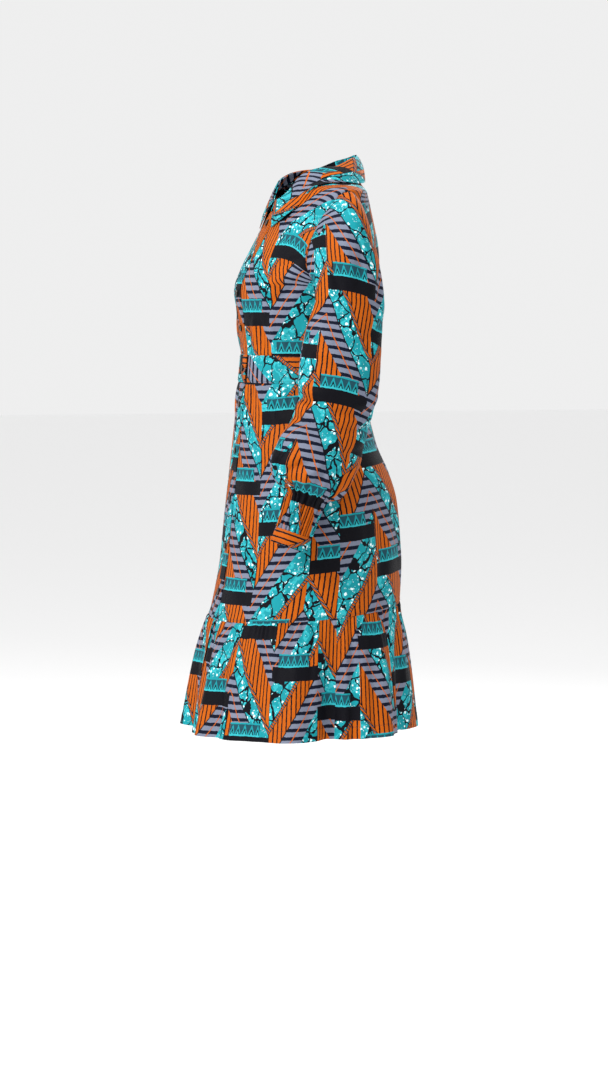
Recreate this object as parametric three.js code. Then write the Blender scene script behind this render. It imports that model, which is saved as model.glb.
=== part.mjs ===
// Long-sleeved shirt dress in its worn, hollow form: bodice, collar, waistband, skirt, gathered
// flounce and bishop sleeves. Millimetres, +Z up, front towards -Y, the wearer's left towards +X.
// The origin lies midway between the shoulders, level with the base of the neck at the back.
import * as THREE from 'three';

// ---- Driving dimensions ----
const WALL = 2; // cloth, with its turned seam allowances
const SEAM = 0.3; // gap between pieces that are sewn together
const WAIST_TOP = -315;
const WAIST_BOTTOM = -362;
const FLOUNCE_TOP = -757;
const HEM = -960;
const FLOUNCE_DIP = 15; // the flounce seam hangs lower in front and higher behind
const HEM_DIP = 5;
const SHOULDER_TIP = -38;
const UNDERARM = -200;
const SIDE_NECK = -8;
const FRONT_NECK = -68;
const NECK_HALF_WIDTH = 70;
const ARMHOLE_FRONT = 31; // how far the armhole cuts into the front, in degrees round the body
const ARMHOLE_BACK = 29;
const BAND_HALF_WIDTH = 16; // front bands
const BAND_PROUD = 0.6; // the buttonhole band stands proud of the fronts
const WAISTBAND_PROUD = 1;
const CUFF_DEEP = 25;
const CUFF_LAP_START = 200; // degrees round the wrist from its front
const CUFF_TURN = 375;
const BUTTON_RADIUS = 5.5;
const BUTTON_THICK = 2.4;
const BUTTON_GAP = 0.6;
const QUARTER = 90;
const HALF_TURN = 180;
const FULL_TURN = 360;

// Level sections of the dress. side is the half width, front and back are the depths from the
// section's middle, mid is that middle's place along Y, and round is the curve's exponent.
const SECTIONS = [
  { z: 6, side: 52, front: 48, back: 58, mid: 20, round: 2 },
  { z: -8, side: 70, front: 60, back: 62, mid: 18, round: 2 },
  { z: -20, side: 105, front: 65, back: 68, mid: 15, round: 1.85 },
  { z: -38, side: 182, front: 69, back: 76, mid: 11, round: 1.7 },
  { z: -60, side: 184, front: 76, back: 86, mid: 8, round: 1.7 },
  { z: -96, side: 182, front: 88, back: 97, mid: 5, round: 1.8 },
  { z: -131, side: 177, front: 103, back: 106, mid: 2, round: 1.95 },
  { z: -166, side: 166, front: 119, back: 111, mid: -1, round: 2.05 },
  { z: -201, side: 154, front: 129, back: 112, mid: -4, round: 2.1 },
  { z: -254, side: 146, front: 119, back: 110, mid: -9, round: 2.1 },
  { z: -315, side: 139, front: 109, back: 106, mid: -13, round: 2.1 },
  { z: -362, side: 143, front: 112, back: 104, mid: -14, round: 2.1 },
  { z: -411, side: 155, front: 118, back: 104, mid: -12, round: 2.1 },
  { z: -464, side: 169, front: 126, back: 112, mid: -9, round: 2.1 },
  { z: -516, side: 178, front: 135, back: 131, mid: -6, round: 2.1 },
  { z: -569, side: 183, front: 143, back: 143, mid: -4, round: 2.1 },
  { z: -656, side: 188, front: 152, back: 150, mid: -4, round: 2.1 },
  { z: -752, side: 195, front: 161, back: 160, mid: -12, round: 2.1 },
  { z: -800, side: 209, front: 175, back: 172, mid: -15, round: 2.05 },
  { z: -860, side: 221, front: 188, back: 182, mid: -18, round: 2.05 },
  { z: -960, side: 237, front: 204, back: 192, mid: -22, round: 2.05 },
];

// Folds of the flounce. angle is where the fold lies round the body, spread its half width, both
// in degrees, and reach how far it stands out (or in, where negative) at the hem.
const FOLDS = [
  { angle: -172, spread: 11, reach: 14 },
  { angle: -158, spread: 9, reach: -13 },
  { angle: -141, spread: 12, reach: 12 },
  { angle: -124, spread: 9, reach: -16 },
  { angle: -108, spread: 12, reach: 13 },
  { angle: -90, spread: 10, reach: -22 },
  { angle: -68, spread: 16, reach: 10 },
  { angle: -48, spread: 9, reach: -13 },
  { angle: -29, spread: 11, reach: 4 },
  { angle: -5, spread: 14, reach: -28 },
  { angle: 18, spread: 9, reach: 10 },
  { angle: 28, spread: 6, reach: -5 },
  { angle: 37, spread: 10, reach: 6 },
  { angle: 66, spread: 14, reach: 10 },
  { angle: 87, spread: 13, reach: -30 },
  { angle: 99, spread: 5, reach: -8 },
  { angle: 117, spread: 13, reach: 12 },
  { angle: 133, spread: 6, reach: -14 },
  { angle: 150, spread: 12, reach: 12 },
  { angle: 168, spread: 9, reach: -14 },
];

// Rings of the left sleeve below the armhole. x, y and z are the ring's middle, depth its half
// size from front to back, breadth its half size across, and tilt the forearm's lean in degrees.
const SLEEVE_RINGS = [
  { x: 198, y: 9, z: -228, depth: 60, breadth: 40, tilt: 4 },
  { x: 203, y: -5, z: -289, depth: 67, breadth: 45, tilt: 5 },
  { x: 209, y: -13, z: -350, depth: 70, breadth: 48, tilt: 8 },
  { x: 214, y: -21, z: -396, depth: 66, breadth: 48, tilt: 12 },
  { x: 220, y: -34, z: -436, depth: 66, breadth: 48, tilt: 17 },
  { x: 226, y: -53, z: -476, depth: 73, breadth: 52, tilt: 20 },
  { x: 229, y: -68, z: -506, depth: 72, breadth: 53, tilt: 18 },
  { x: 228, y: -73, z: -532, depth: 60, breadth: 46, tilt: 17 },
  { x: 222, y: -76, z: -550, depth: 35, breadth: 33, tilt: 18 },
  { x: 212, y: -93, z: -609, depth: 31, breadth: 29, tilt: 20 },
];

// The right arm hangs straighter than the left and a little further out.
const RIGHT_SWING = 0.2;
const RIGHT_OUT = 13;

// The collar from the middle of the back (around 0) to the front ends (around 1). rise and lean
// shape the stand, and x, y and z place the leaf's outer edge, just over the body.
const COLLAR = [
  { around: 0, rise: 31, lean: 3, x: 0, y: 93, z: -15 },
  { around: 0.25, rise: 27, lean: 5, x: 78, y: 70, z: -20 },
  { around: 0.5, rise: 15, lean: 8, x: 118, y: 8, z: -25 },
  { around: 0.75, rise: 16, lean: 7, x: 100, y: -54, z: -60 },
  { around: 1, rise: 19, lean: 6, x: 34, y: -89, z: -97 },
];

const BODICE_BUTTONS = [-88, -148, -208, -268];
const WAIST_BUTTONS = [-338];
const SKIRT_BUTTONS = [-400, -478, -556, -634, -712];

// ---- Materials ----
const clothOf = (color) => new THREE.MeshStandardMaterial({ color, roughness: 0.7, metalness: 0 });
const PRINT_TEAL = clothOf(0x1aa6ad);
const PRINT_ORANGE = clothOf(0xd9700f);
const PRINT_GREY = clothOf(0x8f98b4);
const PRINT_NAVY = clothOf(0x0c1730);
const BUTTON_BROWN = new THREE.MeshStandardMaterial({ color: 0x3a2618, roughness: 0.3, metalness: 0 });

// ---- Helpers ----
const radians = THREE.MathUtils.degToRad;
const mix = THREE.MathUtils.lerp;
const vector = (x, y, z) => new THREE.Vector3(x, y, z);
const counted = (count) => Array.from({ length: count }, (_, index) => index);

// Slope of a table's column at one row, flat at peaks so that nothing overshoots.
function slopeAt(table, row, axis, column) {
  const slopes = [row - 1, row]
    .filter((start) => start >= 0 && start + 1 < table.length)
    .map((start) => (table[start + 1][column] - table[start][column])
      / (table[start + 1][axis] - table[start][axis]));
  if (slopes.length < 2) return slopes[0];
  const [before, after] = slopes;
  return before * after <= 0 ? 0 : (2 * before * after) / (before + after);
}

// A smooth value from a table's column, along the table's first axis.
function valueAt(table, axis, column, at) {
  const rising = table[1][axis] > table[0][axis] ? 1 : -1;
  let row = 0;
  while (row < table.length - 2 && rising * (at - table[row + 1][axis]) > 0) row += 1;
  const span = table[row + 1][axis] - table[row][axis];
  const t = (at - table[row][axis]) / span;
  const start = slopeAt(table, row, axis, column) * span;
  const end = slopeAt(table, row + 1, axis, column) * span;
  return table[row][column] * (2 * t ** 3 - 3 * t ** 2 + 1) + start * (t ** 3 - 2 * t ** 2 + t)
    + table[row + 1][column] * (3 * t ** 2 - 2 * t ** 3) + end * (t ** 3 - t ** 2);
}

const section = (z) => Object.fromEntries(
  ['side', 'front', 'back', 'mid', 'round'].map((key) => [key, valueAt(SECTIONS, 'z', key, z)]),
);

// How far the flounce's folds push the cloth out at one place.
function foldReach(angle, z) {
  const down = Math.max(0, (FLOUNCE_TOP - z) / (FLOUNCE_TOP - HEM));
  return FOLDS.reduce((sum, fold) => {
    const apart = Math.abs(((angle - fold.angle + 1.5 * FULL_TURN) % FULL_TURN) - HALF_TURN) / fold.spread;
    const shape = apart < 1 ? Math.cos(apart * Math.PI / 2) ** 2 : 0;
    return sum + fold.reach * shape * down;
  }, 0);
}

// How much lower the front hangs at a nominal height, and how much higher the back.
function dipAt(z) {
  const skirt = THREE.MathUtils.smoothstep(WAIST_BOTTOM - z, 0, WAIST_BOTTOM - FLOUNCE_TOP);
  const flounce = Math.max(0, (FLOUNCE_TOP - z) / (FLOUNCE_TOP - HEM));
  return mix(FLOUNCE_DIP * skirt, HEM_DIP, flounce);
}

// A point on the dress: angle 0 is the centre front, 90 the left side and 180 the centre back.
function onDress(angle, z) {
  const sine = Math.sin(radians(angle));
  const cosine = Math.cos(radians(angle));
  const height = z - dipAt(z) * cosine;
  const { side, front, back, mid, round } = section(height);
  const power = 2 / round;
  const across = side * Math.sign(sine) * Math.abs(sine) ** power;
  const along = (cosine > 0 ? front : back) * Math.sign(cosine) * Math.abs(cosine) ** power;
  const point = vector(across, mid - along, height);
  const outward = vector(sine * front, -cosine * side, 0).normalize();
  return point.addScaledVector(outward, foldReach(angle, z));
}

// A cloth point and its outward direction; aside moves it along the cloth and out away from it.
function dressVertex({ angle, z, aside = 0, out = 0 }) {
  const STEP = 0.6;
  const round = onDress(angle + STEP, z).sub(onDress(angle - STEP, z));
  const degree = round.length() / (2 * STEP);
  const up = onDress(angle, z + STEP).sub(onDress(angle, z - STEP));
  const normal = round.cross(up).normalize();
  const point = onDress(angle + aside / degree, z).addScaledVector(normal, out);
  return { point, normal };
}

// The angle at which a level section reaches a distance across from the centre line.
function angleAcross(across, z) {
  const { side, round } = section(z);
  return THREE.MathUtils.radToDeg(Math.asin((across / side) ** (round / 2)));
}

// ---- Cloth walls ----
const dressGrid = (rows, columns, place) => counted(rows + 1).map(
  (row) => counted(columns + 1).map((column) => dressVertex(place(column / columns, row / rows))),
);

// The same grid on the other side of the body.
function mirrored(grid) {
  const flip = ({ x, y, z }) => vector(-x, y, z);
  return grid.map((row) => row.map(({ point, normal }) => (
    { point: flip(point), normal: flip(normal) })).reverse());
}

// Outward directions for a free grid of points, whose columns may close into a ring.
function withNormals(points, ring = false) {
  const columns = points[0].length;
  const pick = (row, column) => {
    const held = Math.min(points.length - 1, Math.max(0, row));
    const span = columns - 1;
    return points[held][ring ? (column + span) % span : Math.min(span, Math.max(0, column))];
  };
  return points.map((line, row) => line.map((point, column) => {
    const round = pick(row, column + 1).clone().sub(pick(row, column - 1));
    const up = pick(row + 1, column).clone().sub(pick(row - 1, column));
    return { point, normal: round.cross(up).normalize() };
  }));
}

// A closed wall: outer faces on the grids, inner faces behind them, a strip round free edges.
function clothWall(grids) {
  const outer = [];
  const inner = [];
  const seen = new Map();
  const numberOf = ({ point, normal }) => {
    const key = point.toArray().map((value) => Math.round(value * 1000)).join();
    if (!seen.has(key)) {
      seen.set(key, outer.length);
      outer.push(point);
      inner.push(point.clone().addScaledVector(normal, -WALL));
    }
    return seen.get(key);
  };
  const faces = [];
  for (const grid of grids) {
    for (const row of counted(grid.length - 1)) {
      for (const column of counted(grid[row].length - 1)) {
        const [a, b, c, d] = [
          grid[row][column], grid[row][column + 1], grid[row + 1][column + 1], grid[row + 1][column],
        ].map(numberOf);
        faces.push([a, b, c], [a, c, d]);
      }
    }
  }
  const edgesOf = ([a, b, c]) => [[a, b], [b, c], [c, a]];
  const used = new Set(faces.flatMap(edgesOf).map(String));
  const shift = outer.length;
  const rims = faces.flatMap(edgesOf)
    .filter(([from, to]) => !used.has(String([to, from])))
    .flatMap(([from, to]) => [[to, from, from + shift], [to, from + shift, to + shift]]);
  const backs = faces.map(([a, b, c]) => [a + shift, c + shift, b + shift]);
  const geometry = new THREE.BufferGeometry();
  geometry.setFromPoints([...outer, ...inner]);
  geometry.setIndex([...faces, ...backs, ...rims].flat());
  geometry.computeVertexNormals();
  return geometry;
}

const dress = new THREE.Group();

function addPiece(name, geometry, material) {
  const mesh = new THREE.Mesh(geometry, material);
  mesh.name = name;
  dress.add(mesh);
  return mesh;
}

const addCloth = (name, material, ...grids) => addPiece(name, clothWall(grids), material);

// ---- Edges of the bodice ----
// The side seam up to the underarm, then the armhole's front or back edge up to the shoulder.
const SIDE_SHARE = 1 / 3;
const NECK_SHARE = 2 / 3;
const NECK_STEPS = 5; // the collar stand's foot has the same corners as the neckline

function armholeEdge(turn, cut) {
  const middle = (SHOULDER_TIP + UNDERARM) / 2;
  const reach = (SHOULDER_TIP - UNDERARM) / 2;
  return { angle: QUARTER - cut * Math.cos(radians(turn)), z: middle + reach * Math.sin(radians(turn)) };
}

function sideEdge(v, cut) {
  if (v <= SIDE_SHARE) return { angle: QUARTER, z: mix(WAIST_TOP, UNDERARM, v / SIDE_SHARE) };
  return armholeEdge(mix(-QUARTER, QUARTER, (v - SIDE_SHARE) / (1 - SIDE_SHARE)), cut);
}

// The neckline's front half: way 0 is the centre front and 1 the shoulder seam.
function frontNeckline(way) {
  const turn = Math.sin(way * Math.PI / 2) * Math.PI / 2;
  const across = NECK_HALF_WIDTH * Math.sin(turn);
  const z = mix(FRONT_NECK, SIDE_NECK, 1 - Math.cos(turn));
  return { angle: angleAcross(Math.min(across, section(z).side), z), z };
}

const backNeckline = (way) => ({ angle: mix(HALF_TURN, QUARTER, way), z: mix(0, SIDE_NECK, way) });

function frontEdge(v) {
  const z = mix(WAIST_TOP, FRONT_NECK, Math.min(1, v / NECK_SHARE));
  const band = angleAcross(BAND_HALF_WIDTH + SEAM, z);
  if (v <= NECK_SHARE) return { angle: band, z };
  const neckline = frontNeckline((v - NECK_SHARE) / (1 - NECK_SHARE));
  return { angle: Math.max(band, neckline.angle), z: neckline.z };
}

function backEdge(v) {
  if (v <= NECK_SHARE) return { angle: HALF_TURN, z: mix(WAIST_TOP, 0, v / NECK_SHARE) };
  return backNeckline((v - NECK_SHARE) / (1 - NECK_SHARE));
}

// Half of a bodice panel, from its open edge to its side seam and armhole. It is pulled in by half
// a seam at the waist, the side and the shoulder; toward says which way the panel lies from there.
function bodiceHalf(openEdge, cut, toward) {
  return (u, v) => {
    const open = openEdge(v);
    const side = sideEdge(v, cut);
    return {
      angle: mix(open.angle, side.angle, u),
      z: mix(open.z, side.z, u) + SEAM * 0.5 * (1 - v),
      aside: toward * SEAM * 0.5 * Math.max(u, v ** 8),
    };
  };
}

function addBodice() {
  const ROWS = Math.round(NECK_STEPS / (1 - NECK_SHARE));
  const COLUMNS = 8;
  const front = dressGrid(ROWS, COLUMNS, bodiceHalf(frontEdge, ARMHOLE_FRONT, -1));
  addCloth('bodice_front_left', PRINT_GREY, front);
  addCloth('bodice_front_right', PRINT_GREY, mirrored(front));
  const place = bodiceHalf(backEdge, -ARMHOLE_BACK, 1);
  const halfBack = dressGrid(ROWS, COLUMNS, (u, v) => place(1 - u, v));
  addCloth('bodice_back', PRINT_GREY, halfBack, mirrored(halfBack));
}

// ---- Laps and bands at the centre front ----
const signedAngle = (across, z) => Math.sign(across) * angleAcross(Math.abs(across), z);
const LAP = [-1, -0.33, 0.33, 1].map((share) => share * BAND_HALF_WIDTH);
const LAP_RISE = [1.75, 2.5].map((share) => share * BAND_HALF_WIDTH);

// How far the under layer of a lap lies in, at a distance across from the centre front.
const lapDepth = (across) => (WALL + SEAM)
  * (1 - THREE.MathUtils.smoothstep(across, LAP.at(-1), LAP_RISE.at(-1)));

// Rows of cloth at even heights; place gives the columns' places at one height.
const rowsBetween = (bottom, top, rows, place) => counted(rows + 1).map((row) => {
  const z = mix(bottom, top, row / rows) + SEAM * (0.5 - row / rows);
  return place(z).map(dressVertex);
});

// The button band lies under the buttonhole band, which is level with the fronts.
function addBands(part, bottom, top, rows) {
  const band = (out) => rowsBetween(bottom, top, rows, (z) => LAP.map((across) => (
    { angle: signedAngle(across, z), z, out })));
  addCloth(`button_band_${part}`, PRINT_TEAL, band(BAND_PROUD - WALL - SEAM));
  addCloth(`buttonhole_band_${part}`, PRINT_TEAL, band(BAND_PROUD));
}

// A panel from one angle round to another, half a seam short at both sides.
function panel(bottom, top, rows, columns, start, end, out = 0) {
  return rowsBetween(bottom, top, rows, (z) => counted(columns + 1).map((column) => {
    const way = column / columns;
    return { angle: mix(start(z), end(z), way), z, aside: SEAM * (0.5 - way), out };
  }));
}

const leftSide = () => QUARTER;
const rightSide = () => FULL_TURN - QUARTER;
const bandEdge = (z) => angleAcross(BAND_HALF_WIDTH + SEAM, z);

// A front whose edge laps at the centre front: over on the wearer's right, under on the left.
function lappedFront(bottom, top, rows, columns, out) {
  const under = rowsBetween(bottom, top, rows, (z) => {
    const lap = [...LAP, ...LAP_RISE];
    const last = signedAngle(lap.at(-1), z);
    const near = lap.map((across) => (
      { angle: signedAngle(across, z), z, out: out - lapDepth(across) }));
    const far = counted(columns).map((column) => {
      const way = (column + 1) / columns;
      return { angle: mix(last, QUARTER, way), z, aside: -SEAM * 0.5 * way, out };
    });
    return [...near, ...far];
  });
  const over = rowsBetween(bottom, top, rows, (z) => {
    const near = [...LAP_RISE.map((across) => -across).reverse(), ...LAP].map((across) => (
      { angle: signedAngle(across, z), z, out }));
    const far = counted(columns).map((column) => {
      const way = 1 - column / columns;
      return { angle: mix(near[0].angle, -QUARTER, way), z, aside: SEAM * 0.5 * way, out };
    });
    return [...far, ...near];
  });
  return { under, over };
}

function addWaistband() {
  const { under, over } = lappedFront(WAIST_BOTTOM, WAIST_TOP, 1, 8, WAISTBAND_PROUD);
  addCloth('waistband_front_left', PRINT_NAVY, under);
  addCloth('waistband_front_right', PRINT_NAVY, over);
  const back = panel(WAIST_BOTTOM, WAIST_TOP, 1, 20, leftSide, rightSide, WAISTBAND_PROUD);
  addCloth('waistband_back', PRINT_NAVY, back);
}

function addSkirt() {
  const ROWS = 7;
  const front = panel(FLOUNCE_TOP, WAIST_BOTTOM, ROWS, 10, bandEdge, leftSide);
  addCloth('skirt_front_left', PRINT_ORANGE, front);
  addCloth('skirt_front_right', PRINT_ORANGE, mirrored(front));
  const back = panel(FLOUNCE_TOP, WAIST_BOTTOM, ROWS, 20, leftSide, rightSide);
  addCloth('skirt_back', PRINT_ORANGE, back);
}

function addFlounce() {
  const ROWS = 4;
  const { under, over } = lappedFront(HEM, FLOUNCE_TOP, ROWS, 21, 0);
  addCloth('flounce_front_left', PRINT_TEAL, under);
  addCloth('flounce_front_right', PRINT_TEAL, over);
  const back = panel(HEM, FLOUNCE_TOP, ROWS, 44, leftSide, rightSide);
  addCloth('flounce_back', PRINT_TEAL, back);
}

// ---- Sleeves and cuffs ----
// A point of a sleeve ring: turn 0 is the arm's front, 90 its outer side and 180 its back.
function ringPoint(ring, turn, out = 0) {
  const lean = radians(ring.tilt);
  const forward = (ring.depth + out) * Math.cos(radians(turn));
  const across = (ring.breadth + out) * Math.sin(radians(turn));
  return vector(ring.x + across, ring.y - forward * Math.cos(lean), ring.z + forward * Math.sin(lean));
}

// The sleeve head swings from the armhole over the top of the arm to the first ring. It leaves
// the armhole nearly level over the arm, lower under it, and arrives hanging straight down.
function headPoint(turn, way) {
  const LEAVE = { under: 0.5, over: 1.15 };
  const ARRIVE = { under: 0.7, over: 1.25 };
  const DROP = { under: 0.6, over: 0.1 };
  const SPLAY = 0.06;
  const cut = Math.cos(radians(turn)) > 0 ? ARMHOLE_FRONT : ARMHOLE_BACK;
  const edge = armholeEdge(turn, cut);
  const start = onDress(edge.angle, edge.z).add(vector(2 * SEAM, 0, 0));
  const end = ringPoint(SLEEVE_RINGS[0], turn);
  const reach = end.distanceTo(start);
  const high = (1 + Math.sin(radians(turn))) / 2;
  const splay = -SPLAY * Math.cos(radians(turn));
  const out = vector(0.95, splay, -mix(DROP.under, DROP.over, high)).normalize();
  const leave = out.multiplyScalar(reach * mix(LEAVE.under, LEAVE.over, high));
  const arrive = vector(0, 0, -reach * mix(ARRIVE.under, ARRIVE.over, high));
  return start.multiplyScalar(2 * way ** 3 - 3 * way ** 2 + 1)
    .addScaledVector(leave, way ** 3 - 2 * way ** 2 + way)
    .addScaledVector(end, 3 * way ** 2 - 2 * way ** 3)
    .addScaledVector(arrive, way ** 3 - way ** 2);
}

const RING_COLUMNS = 20;
const turns = counted(RING_COLUMNS + 1).map((column) => (column / RING_COLUMNS) * FULL_TURN);

function sleeveGrid(rings) {
  const HEAD_ROWS = 5;
  const arm = rings.toReversed().map((ring) => turns.map((turn) => ringPoint(ring, turn)));
  const head = counted(HEAD_ROWS).map((row) => turns.map(
    (turn) => headPoint(turn, 1 - (row + 1) / HEAD_ROWS)));
  return withNormals([...arm, ...head], true);
}

// The cuff winds once round the wrist and laps over its own start.
function cuffGrid(rings) {
  const COLUMNS = 22;
  const top = rings.at(-1);
  const lean = radians(top.tilt);
  const points = [CUFF_DEEP, SEAM].map((drop) => counted(COLUMNS + 1).map((column) => {
    const way = column / COLUMNS;
    const turn = CUFF_LAP_START + CUFF_TURN * way;
    return ringPoint(top, turn, (WALL + SEAM) * (way - 0.5))
      .add(vector(0, -Math.sin(lean) * drop, -Math.cos(lean) * drop));
  }));
  return withNormals(points);
}

// The right sleeve's rings, before they are mirrored.
function rightRings() {
  const [first] = SLEEVE_RINGS;
  const last = SLEEVE_RINGS.at(-1);
  return SLEEVE_RINGS.map((ring) => ({
    ...ring,
    x: ring.x + RIGHT_OUT * THREE.MathUtils.smoothstep(first.z - ring.z, 0, first.z - last.z),
    y: mix(first.y, ring.y, RIGHT_SWING),
    tilt: mix(first.tilt, ring.tilt, RIGHT_SWING),
  }));
}

function addSleeves() {
  const right = rightRings();
  addCloth('sleeve_left', PRINT_TEAL, sleeveGrid(SLEEVE_RINGS));
  addCloth('sleeve_right', PRINT_TEAL, mirrored(sleeveGrid(right)));
  addCloth('cuff_left', PRINT_NAVY, cuffGrid(SLEEVE_RINGS));
  addCloth('cuff_right', PRINT_NAVY, mirrored(cuffGrid(right)));
}

// ---- Collar ----
// The neckline from the centre back (around 0) to the front (1), on the left side.
function necklinePlace(around) {
  return around <= 0.5 ? backNeckline(2 * around) : frontNeckline(2 * (1 - around));
}

// The stand's foot and top at one place round the neck, and the way it faces.
function standLine(around) {
  const STEP = 0.01;
  const foot = onDress(necklinePlace(around).angle, necklinePlace(around).z);
  const next = necklinePlace(Math.min(1, around + STEP));
  const last = necklinePlace(Math.max(0, around - STEP));
  const along = onDress(next.angle, next.z).sub(onDress(last.angle, last.z));
  const facing = around === 0 ? vector(0, 1, 0) : vector(-along.y, along.x, 0).normalize();
  const value = (column) => valueAt(COLLAR, 'around', column, around);
  const top = foot.clone().add(vector(0, 0, value('rise'))).addScaledVector(facing, -value('lean'));
  return { foot: foot.add(vector(0, 0, SEAM)), top, facing };
}

// Moves a point of the leaf up and out until it is clear of the bodice.
function clearOfBodice(point) {
  const CLEARANCE = 8;
  const STEP = 0.5;
  const push = vector(point.x, point.y, 2 * NECK_HALF_WIDTH).normalize();
  const isInside = ({ x, y, z }) => {
    if (z > SECTIONS[0].z) return false;
    const { side, front, back, mid, round } = section(z);
    return Math.abs(x / side) ** round + Math.abs((y - mid) / (y < mid ? front : back)) ** round < 1;
  };
  while (isInside(point.clone().addScaledVector(push, -CLEARANCE))) point.addScaledVector(push, STEP);
  return point;
}

// A point of the leaf, from its fold over the stand (way 0) to its outer edge (1).
function leafPoint(around, way) {
  const FOLD_OUT = WALL + 4 * SEAM;
  const BULGE = 6;
  const { top, facing } = standLine(around);
  const value = (column) => valueAt(COLLAR, 'around', column, around);
  const fold = top.addScaledVector(facing, FOLD_OUT).add(vector(0, 0, 1));
  const edge = vector(value('x'), value('y'), value('z'));
  const swell = facing.clone().add(vector(0, 0, 1)).normalize();
  return clearOfBodice(fold.lerp(edge, way).addScaledVector(swell, BULGE * 4 * way * (1 - way)));
}

function addCollar() {
  const COLUMNS = 2 * NECK_STEPS;
  const LEAF_COLUMNS = 14;
  const LEAF_ROWS = 3;
  const END = 0.985; // just short of the centre front
  const spread = (columns) => counted(columns + 1)
    .map((column) => Math.min(END, 1 - column / columns));
  const around = spread(COLUMNS);
  const stand = [
    around.map((place) => ({ point: standLine(place).foot, normal: standLine(place).facing })),
    around.map((place) => ({ point: standLine(place).top, normal: standLine(place).facing })),
  ];
  addCloth('collar_stand', PRINT_GREY, stand, mirrored(stand));
  const rows = counted(LEAF_ROWS + 1).map((row) => 1 - row / LEAF_ROWS);
  const halfLeaf = rows.map((way) => spread(LEAF_COLUMNS).map((place) => leafPoint(place, way)));
  const wholeLeaf = halfLeaf.map((line) => [
    ...line, ...line.slice(0, -1).reverse().map(({ x, y, z }) => vector(-x, y, z))]);
  addCloth('collar_leaf', PRINT_NAVY, withNormals(wholeLeaf));
}

// ---- Buttons ----
function addButton(name, point, normal) {
  const geometry = new THREE.CylinderGeometry(BUTTON_RADIUS, BUTTON_RADIUS, BUTTON_THICK, 14);
  const button = addPiece(name, geometry, BUTTON_BROWN);
  button.quaternion.setFromUnitVectors(vector(0, 1, 0), normal);
  button.position.copy(point).addScaledVector(normal, BUTTON_GAP + BUTTON_THICK / 2);
}

function addFrontButtons(part, heights, proud) {
  heights.forEach((z, index) => {
    const { point, normal } = dressVertex({ angle: 0, z, out: proud });
    addButton(`button_${part}_${index + 1}`, point, normal);
  });
}

addBodice();
addBands('bodice', WAIST_TOP, FRONT_NECK, 10);
addWaistband();
addSkirt();
addBands('skirt', FLOUNCE_TOP, WAIST_BOTTOM, 8);
addFlounce();
addSleeves();
addCollar();
addFrontButtons('bodice', BODICE_BUTTONS, BAND_PROUD);
addFrontButtons('waist', WAIST_BUTTONS, WAISTBAND_PROUD);
addFrontButtons('skirt', SKIRT_BUTTONS, BAND_PROUD);

export default dress;
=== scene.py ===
"""A worn shirt dress in wax-printed cotton: collar, button front, waistband, bishop sleeves, flounce.

The tables below hold the dress's own sizes in millimetres; the mesh code turns them into metres.
"""
import math
import random

import bmesh
import bpy
from bpy.props import FloatProperty, FloatVectorProperty, PointerProperty
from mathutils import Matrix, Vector


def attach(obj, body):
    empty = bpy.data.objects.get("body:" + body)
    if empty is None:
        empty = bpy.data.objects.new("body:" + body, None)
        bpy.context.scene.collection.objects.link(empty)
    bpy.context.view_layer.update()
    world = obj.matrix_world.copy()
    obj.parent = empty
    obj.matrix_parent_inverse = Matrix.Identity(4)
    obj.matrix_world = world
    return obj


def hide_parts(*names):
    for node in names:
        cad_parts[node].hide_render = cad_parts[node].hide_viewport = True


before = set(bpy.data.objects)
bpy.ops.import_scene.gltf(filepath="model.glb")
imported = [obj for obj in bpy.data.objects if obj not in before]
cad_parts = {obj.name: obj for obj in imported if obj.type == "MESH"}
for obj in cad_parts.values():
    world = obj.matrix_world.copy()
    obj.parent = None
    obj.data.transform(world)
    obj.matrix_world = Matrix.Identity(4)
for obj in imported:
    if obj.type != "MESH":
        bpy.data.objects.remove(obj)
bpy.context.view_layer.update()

bl_info = {
    "name": "Wax Print Shirt Dress",
    "version": (1, 0, 0),
    "blender": (4, 5, 0),
    "location": "View3D > Sidebar > Dress",
    "description": "A worn shirt dress in wax-printed cotton with bishop sleeves and a flounce",
    "category": "Add Mesh",
}

MM = 0.001
UP = Vector((0, 0, 1))
QUARTER, HALF_TURN, FULL_TURN = 90, 180, 360

# ---- Sizes of the dress, in millimetres and degrees ----
SEAM_DIP = 0.9  # how far the cloth rolls in at a sewn edge
SEAM_ROLL = 2.4  # how wide that roll is
WAIST_TOP = -315
WAIST_BOTTOM = -362
FLOUNCE_TOP = -757
HEM = -960
FLOUNCE_DIP = 15
HEM_DIP = 5
SHOULDER_TIP = -38
UNDERARM = -200
SIDE_NECK = -8
FRONT_NECK = -68
NECK_HALF_WIDTH = 70
ARMHOLE_FRONT = 31
ARMHOLE_BACK = 29
BAND_HALF_WIDTH = 16
BAND_PROUD = 0.6
WAISTBAND_PROUD = 1
LAP_STEP = 2.3  # how far the under layer of a lap lies behind the over layer
CUFF_DEEP = 25
CUFF_LAP_START = 200
CUFF_TURN = 375
CUFF_EASE = 1.2  # how far the cuff stands off the sleeve's end
SIDE_SHARE = 1 / 3  # part of a bodice edge that is side seam, below the armhole
NECK_SHARE = 2 / 3  # part of a bodice edge that lies below the neckline
HEM_TURNED_UP = 20
HEM_PROUD = 0.35
GATHER_DEPTH = 2.6
GATHER_FADE = 46  # how far down the flounce's gathers die out
GATHER_RISE = 24  # how far up the skirt they show
EASE_DEPTH = 3.0
EASE_RUN = 70
OVER_BAND_LIFT = 0.3  # how much further out the buttonhole band lies than a plain band

SECTION_KEYS = ("side", "front", "back", "mid", "round")
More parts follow.
